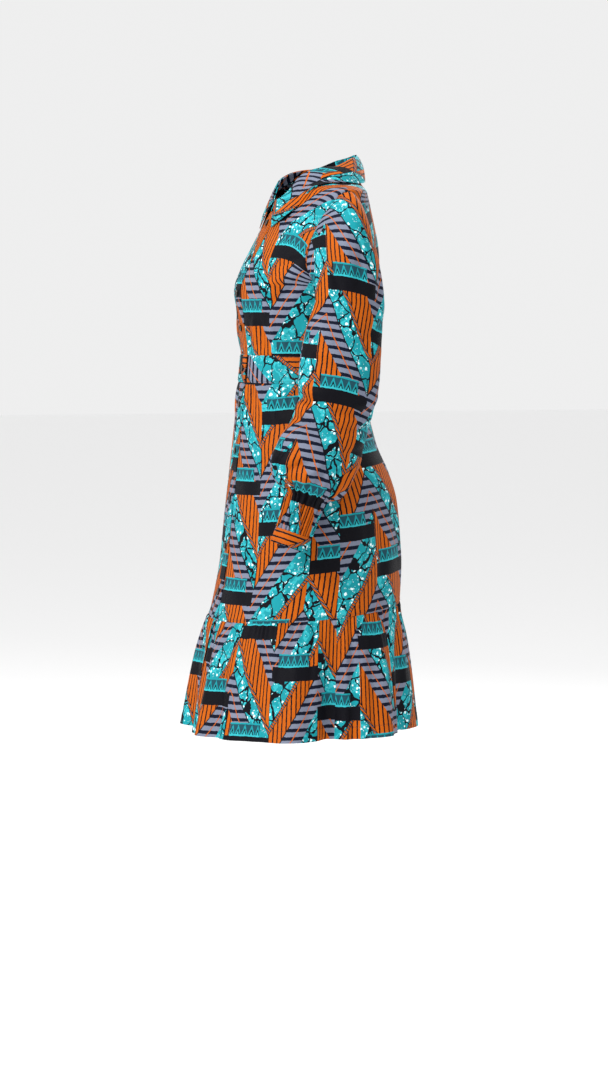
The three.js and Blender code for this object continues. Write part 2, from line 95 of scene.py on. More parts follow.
# Level sections: height, half width, depth in front and behind, middle along Y, curve exponent.
SECTIONS = [
    (6, 52, 48, 58, 20, 2),
    (-8, 70, 60, 62, 18, 2),
    (-20, 105, 65, 68, 15, 1.85),
    (-38, 182, 69, 76, 11, 1.7),
    (-60, 184, 76, 86, 8, 1.7),
    (-96, 182, 88, 97, 5, 1.8),
    (-131, 177, 103, 106, 2, 1.95),
    (-166, 166, 119, 111, -1, 2.05),
    (-201, 154, 129, 112, -4, 2.1),
    (-254, 146, 119, 110, -9, 2.1),
    (-315, 139, 109, 106, -13, 2.1),
    (-362, 143, 112, 104, -14, 2.1),
    (-411, 155, 118, 104, -12, 2.1),
    (-464, 169, 126, 112, -9, 2.1),
    (-516, 178, 135, 131, -6, 2.1),
    (-569, 183, 143, 143, -4, 2.1),
    (-656, 188, 152, 150, -4, 2.1),
    (-752, 195, 161, 160, -12, 2.1),
    (-800, 209, 175, 172, -15, 2.05),
    (-860, 221, 188, 182, -18, 2.05),
    (-960, 237, 204, 192, -22, 2.05),
]

# Folds of the flounce: place round the body, half width in degrees, reach at the hem.
FOLDS = [
    (-172, 11, 14), (-158, 9, -13), (-141, 12, 12), (-124, 9, -16), (-108, 12, 13),
    (-90, 10, -22), (-68, 16, 10), (-48, 9, -13), (-29, 11, 4), (-5, 14, -28),
    (18, 9, 10), (28, 6, -5), (37, 10, 6), (66, 14, 10), (87, 13, -30),
    (99, 5, -8), (117, 13, 12), (133, 6, -14), (150, 12, 12), (168, 9, -14),
]

# Creases of the body: from angle, height to angle, height, then half width and depth. A positive
# depth is a ridge and a negative one a trough.
CREASES = [
    # pulls from the armholes and over the bust
    (62, -196, 40, -232, 7, -5.4), (60, -178, 34, -196, 8, 4.1), (58, -150, 38, -162, 8, -3.1),
    (-62, -192, -42, -224, 7, -5.1), (-60, -172, -36, -186, 8, 3.7), (-57, -146, -40, -160, 8, -2.7),
    (118, -190, 138, -226, 7, -5.1), (120, -168, 144, -190, 9, 3.7), (122, -140, 142, -150, 8, -3.1),
    (-118, -194, -140, -232, 7, -4.8), (-121, -166, -146, -186, 9, 3.7),
    # cloth eased above the waistband
    (10, -304, 14, -262, 5, -3.4), (20, -306, 22, -250, 5, 3.7), (31, -306, 30, -258, 5, -4.1),
    (44, -306, 40, -244, 6, 4.1), (57, -306, 56, -264, 5, -3.7), (70, -306, 72, -252, 6, 3.4),
    (84, -306, 82, -262, 5, -3.7), (98, -306, 98, -256, 6, 3.1), (112, -306, 114, -248, 5, -4.1),
    (128, -306, 126, -260, 6, 3.7), (146, -306, 148, -246, 6, -3.7), (166, -306, 164, -258, 6, 3.4),
    (-14, -304, -16, -258, 5, -3.4), (-26, -306, -24, -250, 5, 3.7), (-40, -306, -42, -256, 5, -4.1),
    (-56, -306, -54, -246, 6, 3.7), (-74, -306, -76, -262, 5, -3.7), (-94, -306, -92, -254, 6, 3.4),
    (-112, -306, -114, -250, 5, -4.1), (-132, -306, -130, -262, 6, 3.4), (-156, -306, -158, -248, 6, -3.7),
    (14, -236, 52, -214, 12, -3.4), (-14, -232, -50, -216, 12, -3.1),
    (150, -232, 128, -262, 10, -4.1), (-150, -226, -126, -254, 10, -3.7),
    # gathers below the waistband
    (9, -366, 10, -402, 4, 3.1), (18, -366, 20, -418, 4, -4.1), (29, -366, 30, -404, 5, 3.4),
    (41, -366, 44, -424, 4, -4.4), (54, -366, 54, -402, 5, 3.4), (67, -366, 70, -416, 4, -4.1),
    (80, -366, 80, -406, 5, 3.1), (95, -366, 96, -420, 4, -4.1), (110, -366, 108, -408, 5, 3.4),
    (126, -366, 128, -424, 5, -3.7), (144, -366, 142, -410, 6, 3.4), (164, -366, 166, -428, 5, -4.1),
    (-12, -366, -13, -408, 4, -3.7), (-25, -366, -26, -420, 5, 3.4), (-39, -366, -38, -404, 4, -4.1),
    (-55, -366, -57, -418, 5, 3.4), (-72, -366, -72, -408, 4, -4.1), (-90, -366, -92, -422, 5, 3.4),
    (-110, -366, -108, -406, 5, -3.7), (-131, -366, -133, -420, 5, 3.4), (-154, -366, -152, -408, 5, -3.7),
    # long soft drapes of the skirt
    (26, -470, 32, -740, 16, -5.1), (52, -520, 55, -750, 18, 4.1), (76, -560, 72, -752, 15, -5.4),
    (98, -500, 104, -745, 17, 4.4), (126, -560, 121, -752, 15, -5.8), (152, -520, 155, -748, 18, 4.8),
    (176, -540, 172, -752, 15, -5.1), (-28, -490, -34, -744, 17, -5.4), (-56, -530, -52, -752, 16, 4.4),
    (-82, -500, -88, -748, 16, -5.8), (-112, -540, -108, -750, 18, 4.4), (-140, -510, -144, -750, 16, -5.4),
    (38, -430, 84, -462, 13, -4.1), (30, -462, 72, -498, 15, 3.1), (-36, -436, -80, -470, 13, -3.7),
    (140, -440, 106, -470, 12, -4.1), (-140, -444, -104, -476, 12, -3.7),
]

RING_KEYS = ("x", "y", "depth", "breadth", "tilt")
# Rings of the left sleeve: height, then the middle, half sizes and the forearm's lean.
SLEEVE_RINGS = [
    (-228, 198, 9, 60, 40, 4),
    (-289, 203, -5, 67, 45, 5),
    (-350, 209, -13, 70, 48, 8),
    (-396, 214, -21, 66, 48, 12),
    (-436, 220, -34, 66, 48, 17),
    (-476, 226, -53, 73, 52, 20),
    (-506, 229, -68, 72, 53, 18),
    (-532, 228, -73, 60, 46, 17),
    (-550, 222, -76, 35, 33, 18),
    (-609, 212, -93, 31, 29, 20),
]
RIGHT_SWING = 0.2
RIGHT_OUT = 13

# Creases of a sleeve: turn round the arm (0 front, 90 outer side), height, to turn, height, then
# half width and depth.
SLEEVE_CREASES = [
    (40, -150, 66, -212, 8, -4.3), (64, -120, 84, -190, 9, 3.5), (100, -130, 92, -206, 8, -3.8),
    (130, -150, 112, -220, 9, 3.5), (150, -170, 136, -236, 8, -4.1),
    (20, -236, 78, -262, 9, -4.9), (16, -262, 70, -292, 10, 3.8), (168, -252, 112, -280, 9, -4.3),
    (160, -300, 104, -322, 10, 3.5), (30, -322, 86, -340, 9, -3.8),
    (-6, -392, 60, -404, 8, -7.2), (8, -372, 66, -386, 10, 4.6), (150, -398, 60, -412, 7, -4.9),
    (172, -372, 96, -392, 9, 4.3), (176, -414, 104, -430, 8, -5.2),
    (0, -430, 74, -446, 8, -6.1), (20, -452, 82, -470, 10, 4.6), (168, -448, 92, -474, 8, -4.9),
    (40, -520, 78, -490, 6, -7.2), (84, -528, 100, -486, 6, -5.8), (124, -526, 118, -480, 6, -6.7),
    (150, -522, 140, -470, 7, 4.3), (62, -530, 90, -500, 6, 4.9), (12, -524, 30, -484, 6, -5.8),
    (190, -300, 260, -316, 9, -4.3), (194, -400, 262, -410, 8, -5.2), (340, -396, 280, -408, 8, -5.2),
    (346, -262, 290, -280, 9, -4.1), (200, -520, 214, -476, 6, -5.5), (244, -524, 240, -480, 6, 4.3),
    (286, -526, 280, -482, 6, -5.5), (322, -522, 316, -478, 6, 4.3),
]

# The collar from the middle of the back (0) to the front ends (1): place, the stand's rise and
# lean, then x, y and z of the leaf's edge.
COLLAR = [
    (0, 31, 3, 0, 93, -15),
    (0.25, 27, 5, 78, 70, -20),
    (0.5, 15, 8, 118, 8, -25),
    (0.75, 16, 7, 100, -54, -60),
    (1, 19, 6, 34, -86, -97),
]

BUTTON_HEIGHTS = {
    "bodice": [-88, -148, -208, -268],
    "waist": [-338],
    "skirt": [-400, -478, -556, -634, -712],
}

# Each piece as cut: flat width and length in metres, and how much of that rectangle the cut fills.
CUTS = {
    "bodice_front": (0.235, 0.330, 0.80),
    "bodice_back": (0.450, 0.330, 0.86),
    "band_bodice": (0.032, 0.262, 1.0),
    "waistband_front": (0.225, 0.047, 1.0),
    "waistband_back": (0.405, 0.047, 1.0),
    "skirt_front": (0.275, 0.415, 0.88),
    "skirt_back": (0.560, 0.405, 0.86),
    "band_skirt": (0.032, 0.415, 1.0),
    "flounce_front": (0.450, 0.210, 1.0),
    "flounce_back": (0.860, 0.210, 1.0),
    "sleeve": (0.400, 0.600, 0.88),
    "cuff": (0.210, 0.025, 1.0),
    "collar_stand": (0.440, 0.031, 0.75),
    "collar_leaf": (0.560, 0.085, 0.80),
}
PRINT_MAP = "print"


# ---- Tables and the dress's form ----
def slope_at(table, row, column):
    """Slope of a table's column, flat at peaks so that nothing overshoots."""
    slopes = [
        (table[start + 1][column] - table[start][column]) / (table[start + 1][0] - table[start][0])
        for start in (row - 1, row)
        if start >= 0 and start + 1 < len(table)
    ]
    if len(slopes) < 2:
        return slopes[0]
    before, after = slopes
    return 0 if before * after <= 0 else 2 * before * after / (before + after)


def value_at(table, column, at):
    """A smooth value from a table's column, along its first column."""
    rising = 1 if table[1][0] > table[0][0] else -1
    row = 0
    while row < len(table) - 2 and rising * (at - table[row + 1][0]) > 0:
        row += 1
    span = table[row + 1][0] - table[row][0]
    t = (at - table[row][0]) / span
    start = slope_at(table, row, column) * span
    end = slope_at(table, row + 1, column) * span
    return (
        table[row][column] * (2 * t**3 - 3 * t**2 + 1) + start * (t**3 - 2 * t**2 + t)
        + table[row + 1][column] * (3 * t**2 - 2 * t**3) + end * (t**3 - t**2)
    )


def mix(a, b, share):
    return a + (b - a) * share


def ease(value, low, high):
    """0 below low, 1 above high and smooth between them."""
    t = min(1, max(0, (value - low) / (high - low)))
    return t * t * (3 - 2 * t)


LOWEST, HIGHEST = -980, 20
SECTION_STEPS = [
    tuple(value_at(SECTIONS, 1 + key, z) for key in range(len(SECTION_KEYS)))
    for z in range(LOWEST, HIGHEST + 1)
]


def section(z):
    """The level section at a height, read between whole millimetres."""
    place = min(len(SECTION_STEPS) - 1.001, max(0, z - LOWEST))
    low = int(place)
    share = place - low
    return tuple(mix(a, b, share) for a, b in zip(SECTION_STEPS[low], SECTION_STEPS[low + 1]))


def fold_reach(angle, z):
    down = max(0, (FLOUNCE_TOP - z) / (FLOUNCE_TOP - HEM))
    if not down:
        return 0
    total = 0
    for place, spread, reach in FOLDS:
        apart = abs((angle - place + 1.5 * FULL_TURN) % FULL_TURN - HALF_TURN) / spread
        if apart < 1:
            total += reach * math.cos(apart * math.pi / 2) ** 2
    return total * down


def dip_at(z):
    skirt = ease(WAIST_BOTTOM - z, 0, WAIST_BOTTOM - FLOUNCE_TOP)
    flounce = max(0, (FLOUNCE_TOP - z) / (FLOUNCE_TOP - HEM))
    return mix(FLOUNCE_DIP * skirt, HEM_DIP, flounce)


def on_dress(angle, z):
    """A point on the dress: angle 0 is the centre front, 90 the left side, 180 the centre back."""
    sine, cosine = math.sin(math.radians(angle)), math.cos(math.radians(angle))
    height = z - dip_at(z) * cosine
    side, front, back, mid, curve = section(height)
    power = 2 / curve
    across = side * math.copysign(abs(sine) ** power, sine)
    along = (front if cosine > 0 else back) * math.copysign(abs(cosine) ** power, cosine)
    outward = Vector((sine * front, -cosine * side, 0)).normalized()
    return Vector((across, mid - along, height)) + outward * fold_reach(angle, z)


def angle_across(across, z):
    side, *_, curve = section(z)
    return math.degrees(math.asin(min(1, across / side) ** (curve / 2)))


def signed_angle(across, z):
    return math.copysign(angle_across(abs(across), z), across)


# ---- Creases, gathers and other relief ----
def crease_depth(creases, place, z, size, full=FULL_TURN):
    """Sum of the listed creases; size is how many millimetres a degree measures here."""
    total = 0
    for start, start_z, end, end_z, width, depth in creases:
        down = z - start_z
        if not min(start_z, end_z) - 3 * width < z < max(start_z, end_z) + 3 * width:
            continue
        across = ((place - start + 1.5 * full) % full - full / 2) * size
        run = Vector(((end - start) * size, end_z - start_z))
        length = run.length
        t = (across * run.x + down * run.y) / length**2
        held = min(1, max(0, t))
        apart = math.hypot(across - held * run.x, down - held * run.y) / width
        if apart < 2.5:
            total += depth * math.exp(-apart * apart) * (0.25 + 0.75 * math.sin(math.pi * held) ** 0.7)
    return total


def uneven_wave(knots, seed):
    """A smooth wave round a full turn whose crests differ in height and spacing."""
    draw = random.Random(seed)
    heights = [draw.uniform(0.45, 1) * (1 if knot % 2 else -1) for knot in range(knots)]
    shifts = [draw.uniform(-0.28, 0.28) for _ in range(knots)]
    starts = [knot + shift for knot, shift in enumerate(shifts)]

    def wave(angle):
        place = (angle % FULL_TURN) / FULL_TURN * knots
        knot = int(place)
        if place < starts[knot % knots]:
            knot -= 1
        elif knot + 1 < knots and place >= starts[knot + 1]:
            knot += 1
        begin = starts[knot % knots] - (knots if knot < 0 else 0)
        finish = starts[(knot + 1) % knots] + (knots if knot + 1 >= knots else 0)
        share = ease(place, begin, finish)
        return mix(heights[knot % knots], heights[(knot + 1) % knots], share)

    return wave


FLOUNCE_GATHERS = uneven_wave(132, 4)
SKIRT_EASE = uneven_wave(58, 9)
WRIST_GATHERS = uneven_wave(46, 12)
WRIST_FINE = uneven_wave(74, 17)
HEAD_EASE = uneven_wave(64, 23)
BODY_ARC, ARM_ARC = 2.6, 0.95  # millimetres to a degree, about the body and about the arm


def body_relief(angle, z):
    """How far the body's cloth stands off its plain form."""
    relief = crease_depth(CREASES, angle, z, BODY_ARC)
    below = FLOUNCE_TOP - z
    if below > 0:
        fade = math.exp(-below / GATHER_FADE)
        relief += (FLOUNCE_GATHERS(angle) * GATHER_DEPTH * fade
                   + SKIRT_EASE(angle) * EASE_DEPTH * ease(below, 0, EASE_RUN))
        turned_up = HEM + HEM_TURNED_UP - z
        relief += HEM_PROUD * ease(turned_up, -1, 1)
    elif below > -GATHER_RISE:
        relief += FLOUNCE_GATHERS(angle) * 0.5 * ease(below, -GATHER_RISE, 0)
    return relief


def body_point(angle, z, lift=0):
    """A point on the finished cloth of the body, and its outward direction."""
    step = 0.6
    turn = on_dress(angle + step, z) - on_dress(angle - step, z)
    rise = on_dress(angle, z + step) - on_dress(angle, z - step)
    normal = turn.cross(rise).normalized()
    return on_dress(angle, z) + normal * (lift + body_relief(angle, z)), normal


# ---- Mesh making ----
def edge_shares(count):
    """Shares from 0 to 1 that are even, with two more rows close to each end."""
    even = [step / count for step in range(count + 1)]
    near = [0.1 / count, 0.3 / count]
    return sorted(set(even + near + [1 - share for share in near]))


def grid_normals(grid, ring=False):
    last = len(grid[0]) - 1
    normals = []
    for row, line in enumerate(grid):
        upper, lower = grid[min(len(grid) - 1, row + 1)], grid[max(0, row - 1)]
        found = []
        for column in range(last + 1):
            if ring:
                turn = line[(column + 1) % last if column < last else 1] - line[(column - 1) % last]
            else:
                turn = line[min(last, column + 1)] - line[max(0, column - 1)]
            found.append(turn.cross(upper[column] - lower[column]).normalized())
        normals.append(found)
    return normals


def grid_lengths(grid):
    """How far each point lies along its row, and up its column, on the cloth."""
    across = []
    for line in grid:
        lengths = [0.0]
        for before, after in zip(line, line[1:]):
            lengths.append(lengths[-1] + (after - before).length)
        across.append(lengths)
    up = [[0.0] * len(grid[0])]
    for lower, upper in zip(grid, grid[1:]):
        up.append([total + (b - a).length for total, a, b in zip(up[-1], lower, upper)])
    return across, up


def displaced(grid, reliefs, sewn="", ring=False):
    """The grid moved out by its relief and rolled in at its sewn edges."""
    normals = grid_normals(grid, ring)
    across, up = grid_lengths(grid)
    moved = []
    for row, line in enumerate(grid):
        out = []
        for column, point in enumerate(line):
            distances = {
                "l": across[row][column],
                "r": across[row][-1] - across[row][column],
                "b": up[row][column],
                "t": up[-1][column] - up[row][column],
            }
            roll = sum(math.exp(-((distances[edge] / SEAM_ROLL) ** 2)) for edge in sewn)
            out.append(point + normals[row][column] * (reliefs[row][column] - SEAM_DIP * min(1, roll)))
        moved.append(out)
    return moved


def flat_reliefs(grid):
    return [[0] * len(line) for line in grid]


def print_places(grid, start, flat_width=None, turned=False):
    """Where each point lies on the printed cloth, in metres."""
    across, up = grid_lengths(grid)
    places = []
    for row, lengths in enumerate(across):
        scale = flat_width / (lengths[-1] * MM) if flat_width else 1
        line = []
        for column, along in enumerate(lengths):
            width = (along - lengths[-1] / 2) * MM * scale
            length = up[row][column] * MM
            if turned:
                width, length = length, -width
            line.append((start[0] + width, start[1] + length))
        places.append(line)
    return places


def show_only(obj):
    """Deselects everything, then selects and activates one object."""
    bpy.ops.object.select_all(action="DESELECT")
    obj.select_set(True)
    bpy.context.view_layer.objects.active = obj


def make_cloth(name, grid, places, thickness, material, ring=False):
    """A thin shell on a grid of points in millimetres, with its print map."""
    columns = len(grid[0]) - (1 if ring else 0)
    points = [tuple(value * MM for value in point) for line in grid for point in line[:columns]]
    faces, corners = [], []
    for row in range(len(grid) - 1):
        for column in range(len(grid[0]) - 1):
            beside = (column + 1) % columns
            faces.append((
                row * columns + column, row * columns + beside,
                (row + 1) * columns + beside, (row + 1) * columns + column,
            ))
            corners += [
                places[row][column], places[row][column + 1],
                places[row + 1][column + 1], places[row + 1][column],
            ]
    mesh = bpy.data.meshes.new(name)
    mesh.from_pydata(points, [], faces)
    layer = mesh.uv_layers.new(name=PRINT_MAP)
    for loop, place in zip(layer.data, corners):
        loop.uv = place
    mesh.materials.append(material)
    piece = bpy.data.objects.new(name, mesh)
    bpy.context.scene.collection.objects.link(piece)
    show_only(piece)
    shell = piece.modifiers.new("thickness", "SOLIDIFY")
    shell.thickness = thickness
    shell.offset = -1
    shell.use_even_offset = False
    bpy.ops.object.modifier_apply(modifier=shell.name)
    bpy.ops.object.shade_smooth_by_angle(angle=math.radians(60))
    return piece


def declare(piece, nodes):
    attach(piece, "root")
    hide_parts(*nodes)
    return piece


def declare_cloth(piece, node):
    """Tells the frame which solid a cloth piece stands for."""
    declare(piece, [node])
    return piece


def add_cloth(node, moved, places, faced=False, ring=False):
    """A finished cloth piece in printed cotton that stands for the solid of the same name."""
    settings = bpy.context.scene.dress_cloth
    thickness = settings.faced_thickness if faced else settings.thickness
    cloth = material_named("printed_cotton")
    piece = make_cloth(f"{node}_cloth", moved, places, thickness, cloth, ring)
    return declare_cloth(piece, node)


def mirror_grid(grid):
    return [[Vector((-p.x, p.y, p.z)) for p in reversed(line)] for line in grid]


# ---- Materials ----
class Field:
    """A number that varies over the cloth, worked out by Math nodes."""

    def __init__(self, tree, socket):
        self.tree = tree
        self.socket = socket

    def work(self, operation, *others):
        node = self.tree.nodes.new("ShaderNodeMath")
        node.operation = operation
        for slot, value in zip(node.inputs, (self, *others)):
            if isinstance(value, Field):
                self.tree.links.new(value.socket, slot)
            else:
                slot.default_value = value
        return Field(self.tree, node.outputs[0])

    def __add__(self, other):
        return self.work("ADD", other)

    def __sub__(self, other):
        return self.work("SUBTRACT", other)

    def __mul__(self, other):
        return self.work("MULTIPLY", other)

    def __truediv__(self, other):
        return self.work("DIVIDE", other)

    def __lt__(self, other):
        return self.work("LESS_THAN", other)

    def __gt__(self, other):
        return self.work("GREATER_THAN", other)

    def __abs__(self):
        return self.work("ABSOLUTE")

    def fract(self):
        return self.work("FRACT")

    def floor(self):
        return self.work("FLOOR")

    def between(self, low, high):
        return (self > low) * (self < high)


def new_material(name, roughness, specular=0.5):
    material = bpy.data.materials.new(name)
    material.use_nodes = True
    tree = material.node_tree
    shader = tree.nodes["Principled BSDF"]
    shader.inputs["Roughness"].default_value = roughness
    shader.inputs["Specular IOR Level"].default_value = specular
    return material, tree, shader


def colour_mix(tree, mask, below, above):
    """Paints one colour over another where the mask is 1; each is a colour or a socket."""
    node = tree.nodes.new("ShaderNodeMix")
    node.data_type = "RGBA"
    factor, a, b = node.inputs[0], node.inputs[6], node.inputs[7]
    tree.links.new(mask.socket, factor)
    for slot, value in ((a, below), (b, above)):
        if isinstance(value, bpy.types.NodeSocket):
            tree.links.new(value, slot)
        else:
            slot.default_value = (*value, 1)
    return node.outputs[2]


def noise(tree, vector, scale, detail=2, roughness=0.5):
    node = tree.nodes.new("ShaderNodeTexNoise")
    node.inputs["Scale"].default_value = scale
    node.inputs["Detail"].default_value = detail
    node.inputs["Roughness"].default_value = roughness
    tree.links.new(vector, node.inputs["Vector"])
    return node


def voronoi(tree, vector, scale, feature):
    node = tree.nodes.new("ShaderNodeTexVoronoi")
    node.feature = feature
    node.inputs["Scale"].default_value = scale
    tree.links.new(vector, node.inputs["Vector"])
    return Field(tree, node.outputs["Distance"])


def warped(tree, vector, scale, reach):
    """The print's place, pushed about a little as hand-cut edges and cracks are."""
    wobble = noise(tree, vector, scale)
    centre = tree.nodes.new("ShaderNodeVectorMath")
    centre.operation = "SUBTRACT"
    centre.inputs[1].default_value = (0.5, 0.5, 0.5)
    tree.links.new(wobble.outputs["Color"], centre.inputs[0])
    push = tree.nodes.new("ShaderNodeVectorMath")
    push.operation = "MULTIPLY_ADD"
    push.inputs[1].default_value = (reach, reach, 0)
    tree.links.new(centre.outputs[0], push.inputs[0])
    tree.links.new(vector, push.inputs[2])
    return push.outputs[0]


# The print, in shares of its repeat; a field runs from one level to the next up a chevron's leg.
GREY_TOP, FIRST_TOP = 0.32, 0.60
BAR_LINE = (0.150, 0.166)
PIN_SHARE, BAR_SHARE = 0.30, 0.42
ROPE_EDGES, ROPE_STRANDS, GREY_EDGE = (0.572, 0.640), (0.582, 0.630), (0.308, 0.326)
ROPE_PITCH, ROPE_SLANT = 0.0062, 0.8  # metres from strand to strand, and their slant
BLOCK_HEIGHT, BAND_HEIGHT, BLOCK_STEP = 0.125, 0.12, 0.37
BAND_SPAN = (0.12, 0.80)
BAND_FOOT, BAND_HEAD = 0.12, 0.88
TEETH = 7.35  # across half a repeat


def wax_print_material():
    """Wax print of tall chevrons: barred, pinstriped and crackled fields, blocks and sawtooth bands."""
    sizes = bpy.context.scene.dress_print
    colours = bpy.context.scene.dress_colours
    material, tree, shader = new_material("printed_cotton", 0.58, 0.08)
    place = tree.nodes.new("ShaderNodeUVMap")
    place.uv_map = PRINT_MAP
    raw = place.outputs[0]
    cut = warped(tree, raw, 170, 0.0022)
    split = tree.nodes.new("ShaderNodeSeparateXYZ")
    tree.links.new(cut, split.inputs[0])
    x, y = Field(tree, split.outputs[0]), Field(tree, split.outputs[1])
    width, height = sizes.repeat_width, sizes.repeat_height

    leg = (x / width).fract()
    zigzag = abs(leg * 2 - 1)
    level = (y / height + zigzag * sizes.chevron_rise).fract()
    falling = leg < 0.5
    column = (x / (width / 2)).floor()
    block = (y / height + column * BLOCK_STEP).fract()
    along = (x / (width / 2)).fract()

    # teal field: pale bubbles and dark cracks
    bubbles = voronoi(tree, warped(tree, raw, 90, 0.006), 105, "F1")
    specks = voronoi(tree, raw, 240, "F1")
    cracks = voronoi(tree, warped(tree, raw, 60, 0.02), 34, "DISTANCE_TO_EDGE")
    blotch = Field(tree, noise(tree, raw, 45, 3).outputs["Fac"])
    teal = colour_mix(tree, blotch.between(0.52, 0.60), tuple(colours.teal), tuple(colours.teal_light))
    teal = colour_mix(tree, (bubbles < 0.26) * (blotch > 0.44), teal, tuple(colours.pale))
    teal = colour_mix(tree, (specks < 0.16) * (blotch > 0.40), teal, tuple(colours.pale))
    teal = colour_mix(tree, cracks < 0.045, teal, tuple(colours.black))

    # orange field: upright pinstripes
    pin = (x / sizes.pinstripe_pitch).fract()
    orange = colour_mix(tree, pin < PIN_SHARE, tuple(colours.orange), tuple(colours.black))

    # grey field: level bars
    bar = (y / sizes.bar_pitch).fract()
    grey = colour_mix(tree, bar < BAR_SHARE, tuple(colours.grey), tuple(colours.navy))
    grey = colour_mix(tree, level.between(*BAR_LINE), grey, tuple(colours.orange))

    first = colour_mix(tree, falling, teal, orange)
    second = colour_mix(tree, falling, orange, teal)
    paint = colour_mix(tree, level > GREY_TOP, grey, first)
    paint = colour_mix(tree, level > FIRST_TOP, paint, second)

    # a slanting rope on black between the fields
    strand = ((x * ROPE_SLANT + y) / ROPE_PITCH).fract()
    rope = colour_mix(tree, strand < 0.45, tuple(colours.black), tuple(colours.orange))
    rope = colour_mix(tree, strand.between(0.60, 0.74), rope, tuple(colours.grey))
    paint = colour_mix(tree, level.between(*ROPE_EDGES), paint, tuple(colours.black))
    paint = colour_mix(tree, level.between(*ROPE_STRANDS), paint, rope)
    paint = colour_mix(tree, level.between(*GREY_EDGE), paint, tuple(colours.black))

    # black blocks, each with a sawtooth band above it
    paint = colour_mix(tree, block < BLOCK_HEIGHT, paint, tuple(colours.black))
    rise = (block - BLOCK_HEIGHT) / BAND_HEIGHT
    tooth = abs((along * TEETH).fract() - 0.5) * 2 + (rise - BAND_FOOT) / (BAND_HEAD - BAND_FOOT)
    band = colour_mix(tree, tooth < 1, tuple(colours.deep_teal), tuple(colours.teal))
    band = colour_mix(tree, tooth < 0.62, band, tuple(colours.black))
    band = colour_mix(tree, tooth < 0.34, band, tuple(colours.teal_light))
    band = colour_mix(tree, rise < BAND_FOOT, band, tuple(colours.teal_light))
    band = colour_mix(tree, rise > BAND_HEAD, band, tuple(colours.teal))
    paint = colour_mix(tree, rise.between(0, 1) * along.between(*BAND_SPAN), paint, band)

    # the dye takes unevenly
    fade = Field(tree, noise(tree, raw, 26, 4, 0.6).outputs["Fac"])
    faded = tree.nodes.new("ShaderNodeHueSaturation")
    tree.links.new((fade * 0.22 + 0.90).socket, faded.inputs["Value"])
    tree.links.new(paint, faded.inputs["Color"])
    tree.links.new(faded.outputs[0], shader.inputs["Base Color"])
    tree.links.new((fade * 0.16 + 0.50).socket, shader.inputs["Roughness"])
    weave_bump(tree, shader, raw, sizes.thread_pitch)
    return material


def weave_bump(tree, shader, vector, pitch):
    """A plain weave with faint slubs, as bump."""
    split = tree.nodes.new("ShaderNodeSeparateXYZ")
    tree.links.new(vector, split.inputs[0])
    warp, weft = Field(tree, split.outputs[0]), Field(tree, split.outputs[1])
    turn = 2 * math.pi / pitch
    over = (warp * turn).work("SINE") * (weft * turn).work("SINE")
    slub = Field(tree, noise(tree, vector, 700, 2).outputs["Fac"])
    rumple = Field(tree, noise(tree, vector, 60, 3, 0.55).outputs["Fac"])
    height = over * 0.12 + slub * 0.10 + rumple * 2.0
    bump = tree.nodes.new("ShaderNodeBump")
    bump.inputs["Strength"].default_value = 0.5
    bump.inputs["Distance"].default_value = 0.0006
    tree.links.new(height.socket, bump.inputs["Height"])
    tree.links.new(bump.outputs[0], shader.inputs["Normal"])


def object_noise(tree, scale):
    place = tree.nodes.new("ShaderNodeTexCoord")
    return Field(tree, noise(tree, place.outputs["Object"], scale, 3).outputs["Fac"])


def thread_material():
    material, tree, shader = new_material("sewing_thread", 0.55, 0.3)
    grain = object_noise(tree, 900)
    dark = tuple(bpy.context.scene.dress_colours.thread)
    light = tuple(min(1, value * 1.9) for value in dark)
    tree.links.new(colour_mix(tree, grain, dark, light), shader.inputs["Base Color"])
    return material


def button_material():
    material, tree, shader = new_material("button_shell", 0.28, 0.3)
    grain = object_noise(tree, 260)
    dark = tuple(bpy.context.scene.dress_colours.button)
    light = tuple(min(1, value * 2.4) for value in dark)
    tree.links.new(colour_mix(tree, grain, dark, light), shader.inputs["Base Color"])
    tree.links.new((grain * 0.2 + 0.2).socket, shader.inputs["Roughness"])
    shader.inputs["Coat Weight"].default_value = 0.15
    shader.inputs["Coat Roughness"].default_value = 0.15
    return material


def floor_material():
    material, tree, shader = new_material("studio_floor", 0.9, 0.2)
    shader.inputs["Base Color"].default_value = (*bpy.context.scene.dress_colours.floor, 1)
    return material


def material_named(name):
    """The material of that name, made the first time it is asked for."""
    makers = {
        "printed_cotton": wax_print_material,
        "sewing_thread": thread_material,
        "button_shell": button_material,
        "studio_floor": floor_material,
    }
    return bpy.data.materials.get(name) or makers[name]()


# ---- Bodice ----
def armhole_edge(turn, cut):
    middle, reach = (SHOULDER_TIP + UNDERARM) / 2, (SHOULDER_TIP - UNDERARM) / 2
    return QUARTER - cut * math.cos(math.radians(turn)), middle + reach * math.sin(math.radians(turn))


def side_edge(v, cut):
    if v <= SIDE_SHARE:
        return QUARTER, mix(WAIST_TOP, UNDERARM, v / SIDE_SHARE)
    return armhole_edge(mix(-QUARTER, QUARTER, (v - SIDE_SHARE) / (1 - SIDE_SHARE)), cut)


def front_neckline(way):
    turn = math.sin(way * math.pi / 2) * math.pi / 2
    across = NECK_HALF_WIDTH * math.sin(turn)
    z = mix(FRONT_NECK, SIDE_NECK, 1 - math.cos(turn))
    return angle_across(across, z), z


def back_neckline(way):
    return mix(HALF_TURN, QUARTER, way), mix(0, SIDE_NECK, way)


def front_edge(v):
    z = mix(WAIST_TOP, FRONT_NECK, min(1, v / NECK_SHARE))
    band = angle_across(BAND_HALF_WIDTH, z)
    if v <= NECK_SHARE:
        return band, z
    angle, z = front_neckline((v - NECK_SHARE) / (1 - NECK_SHARE))
    return max(band, angle), z


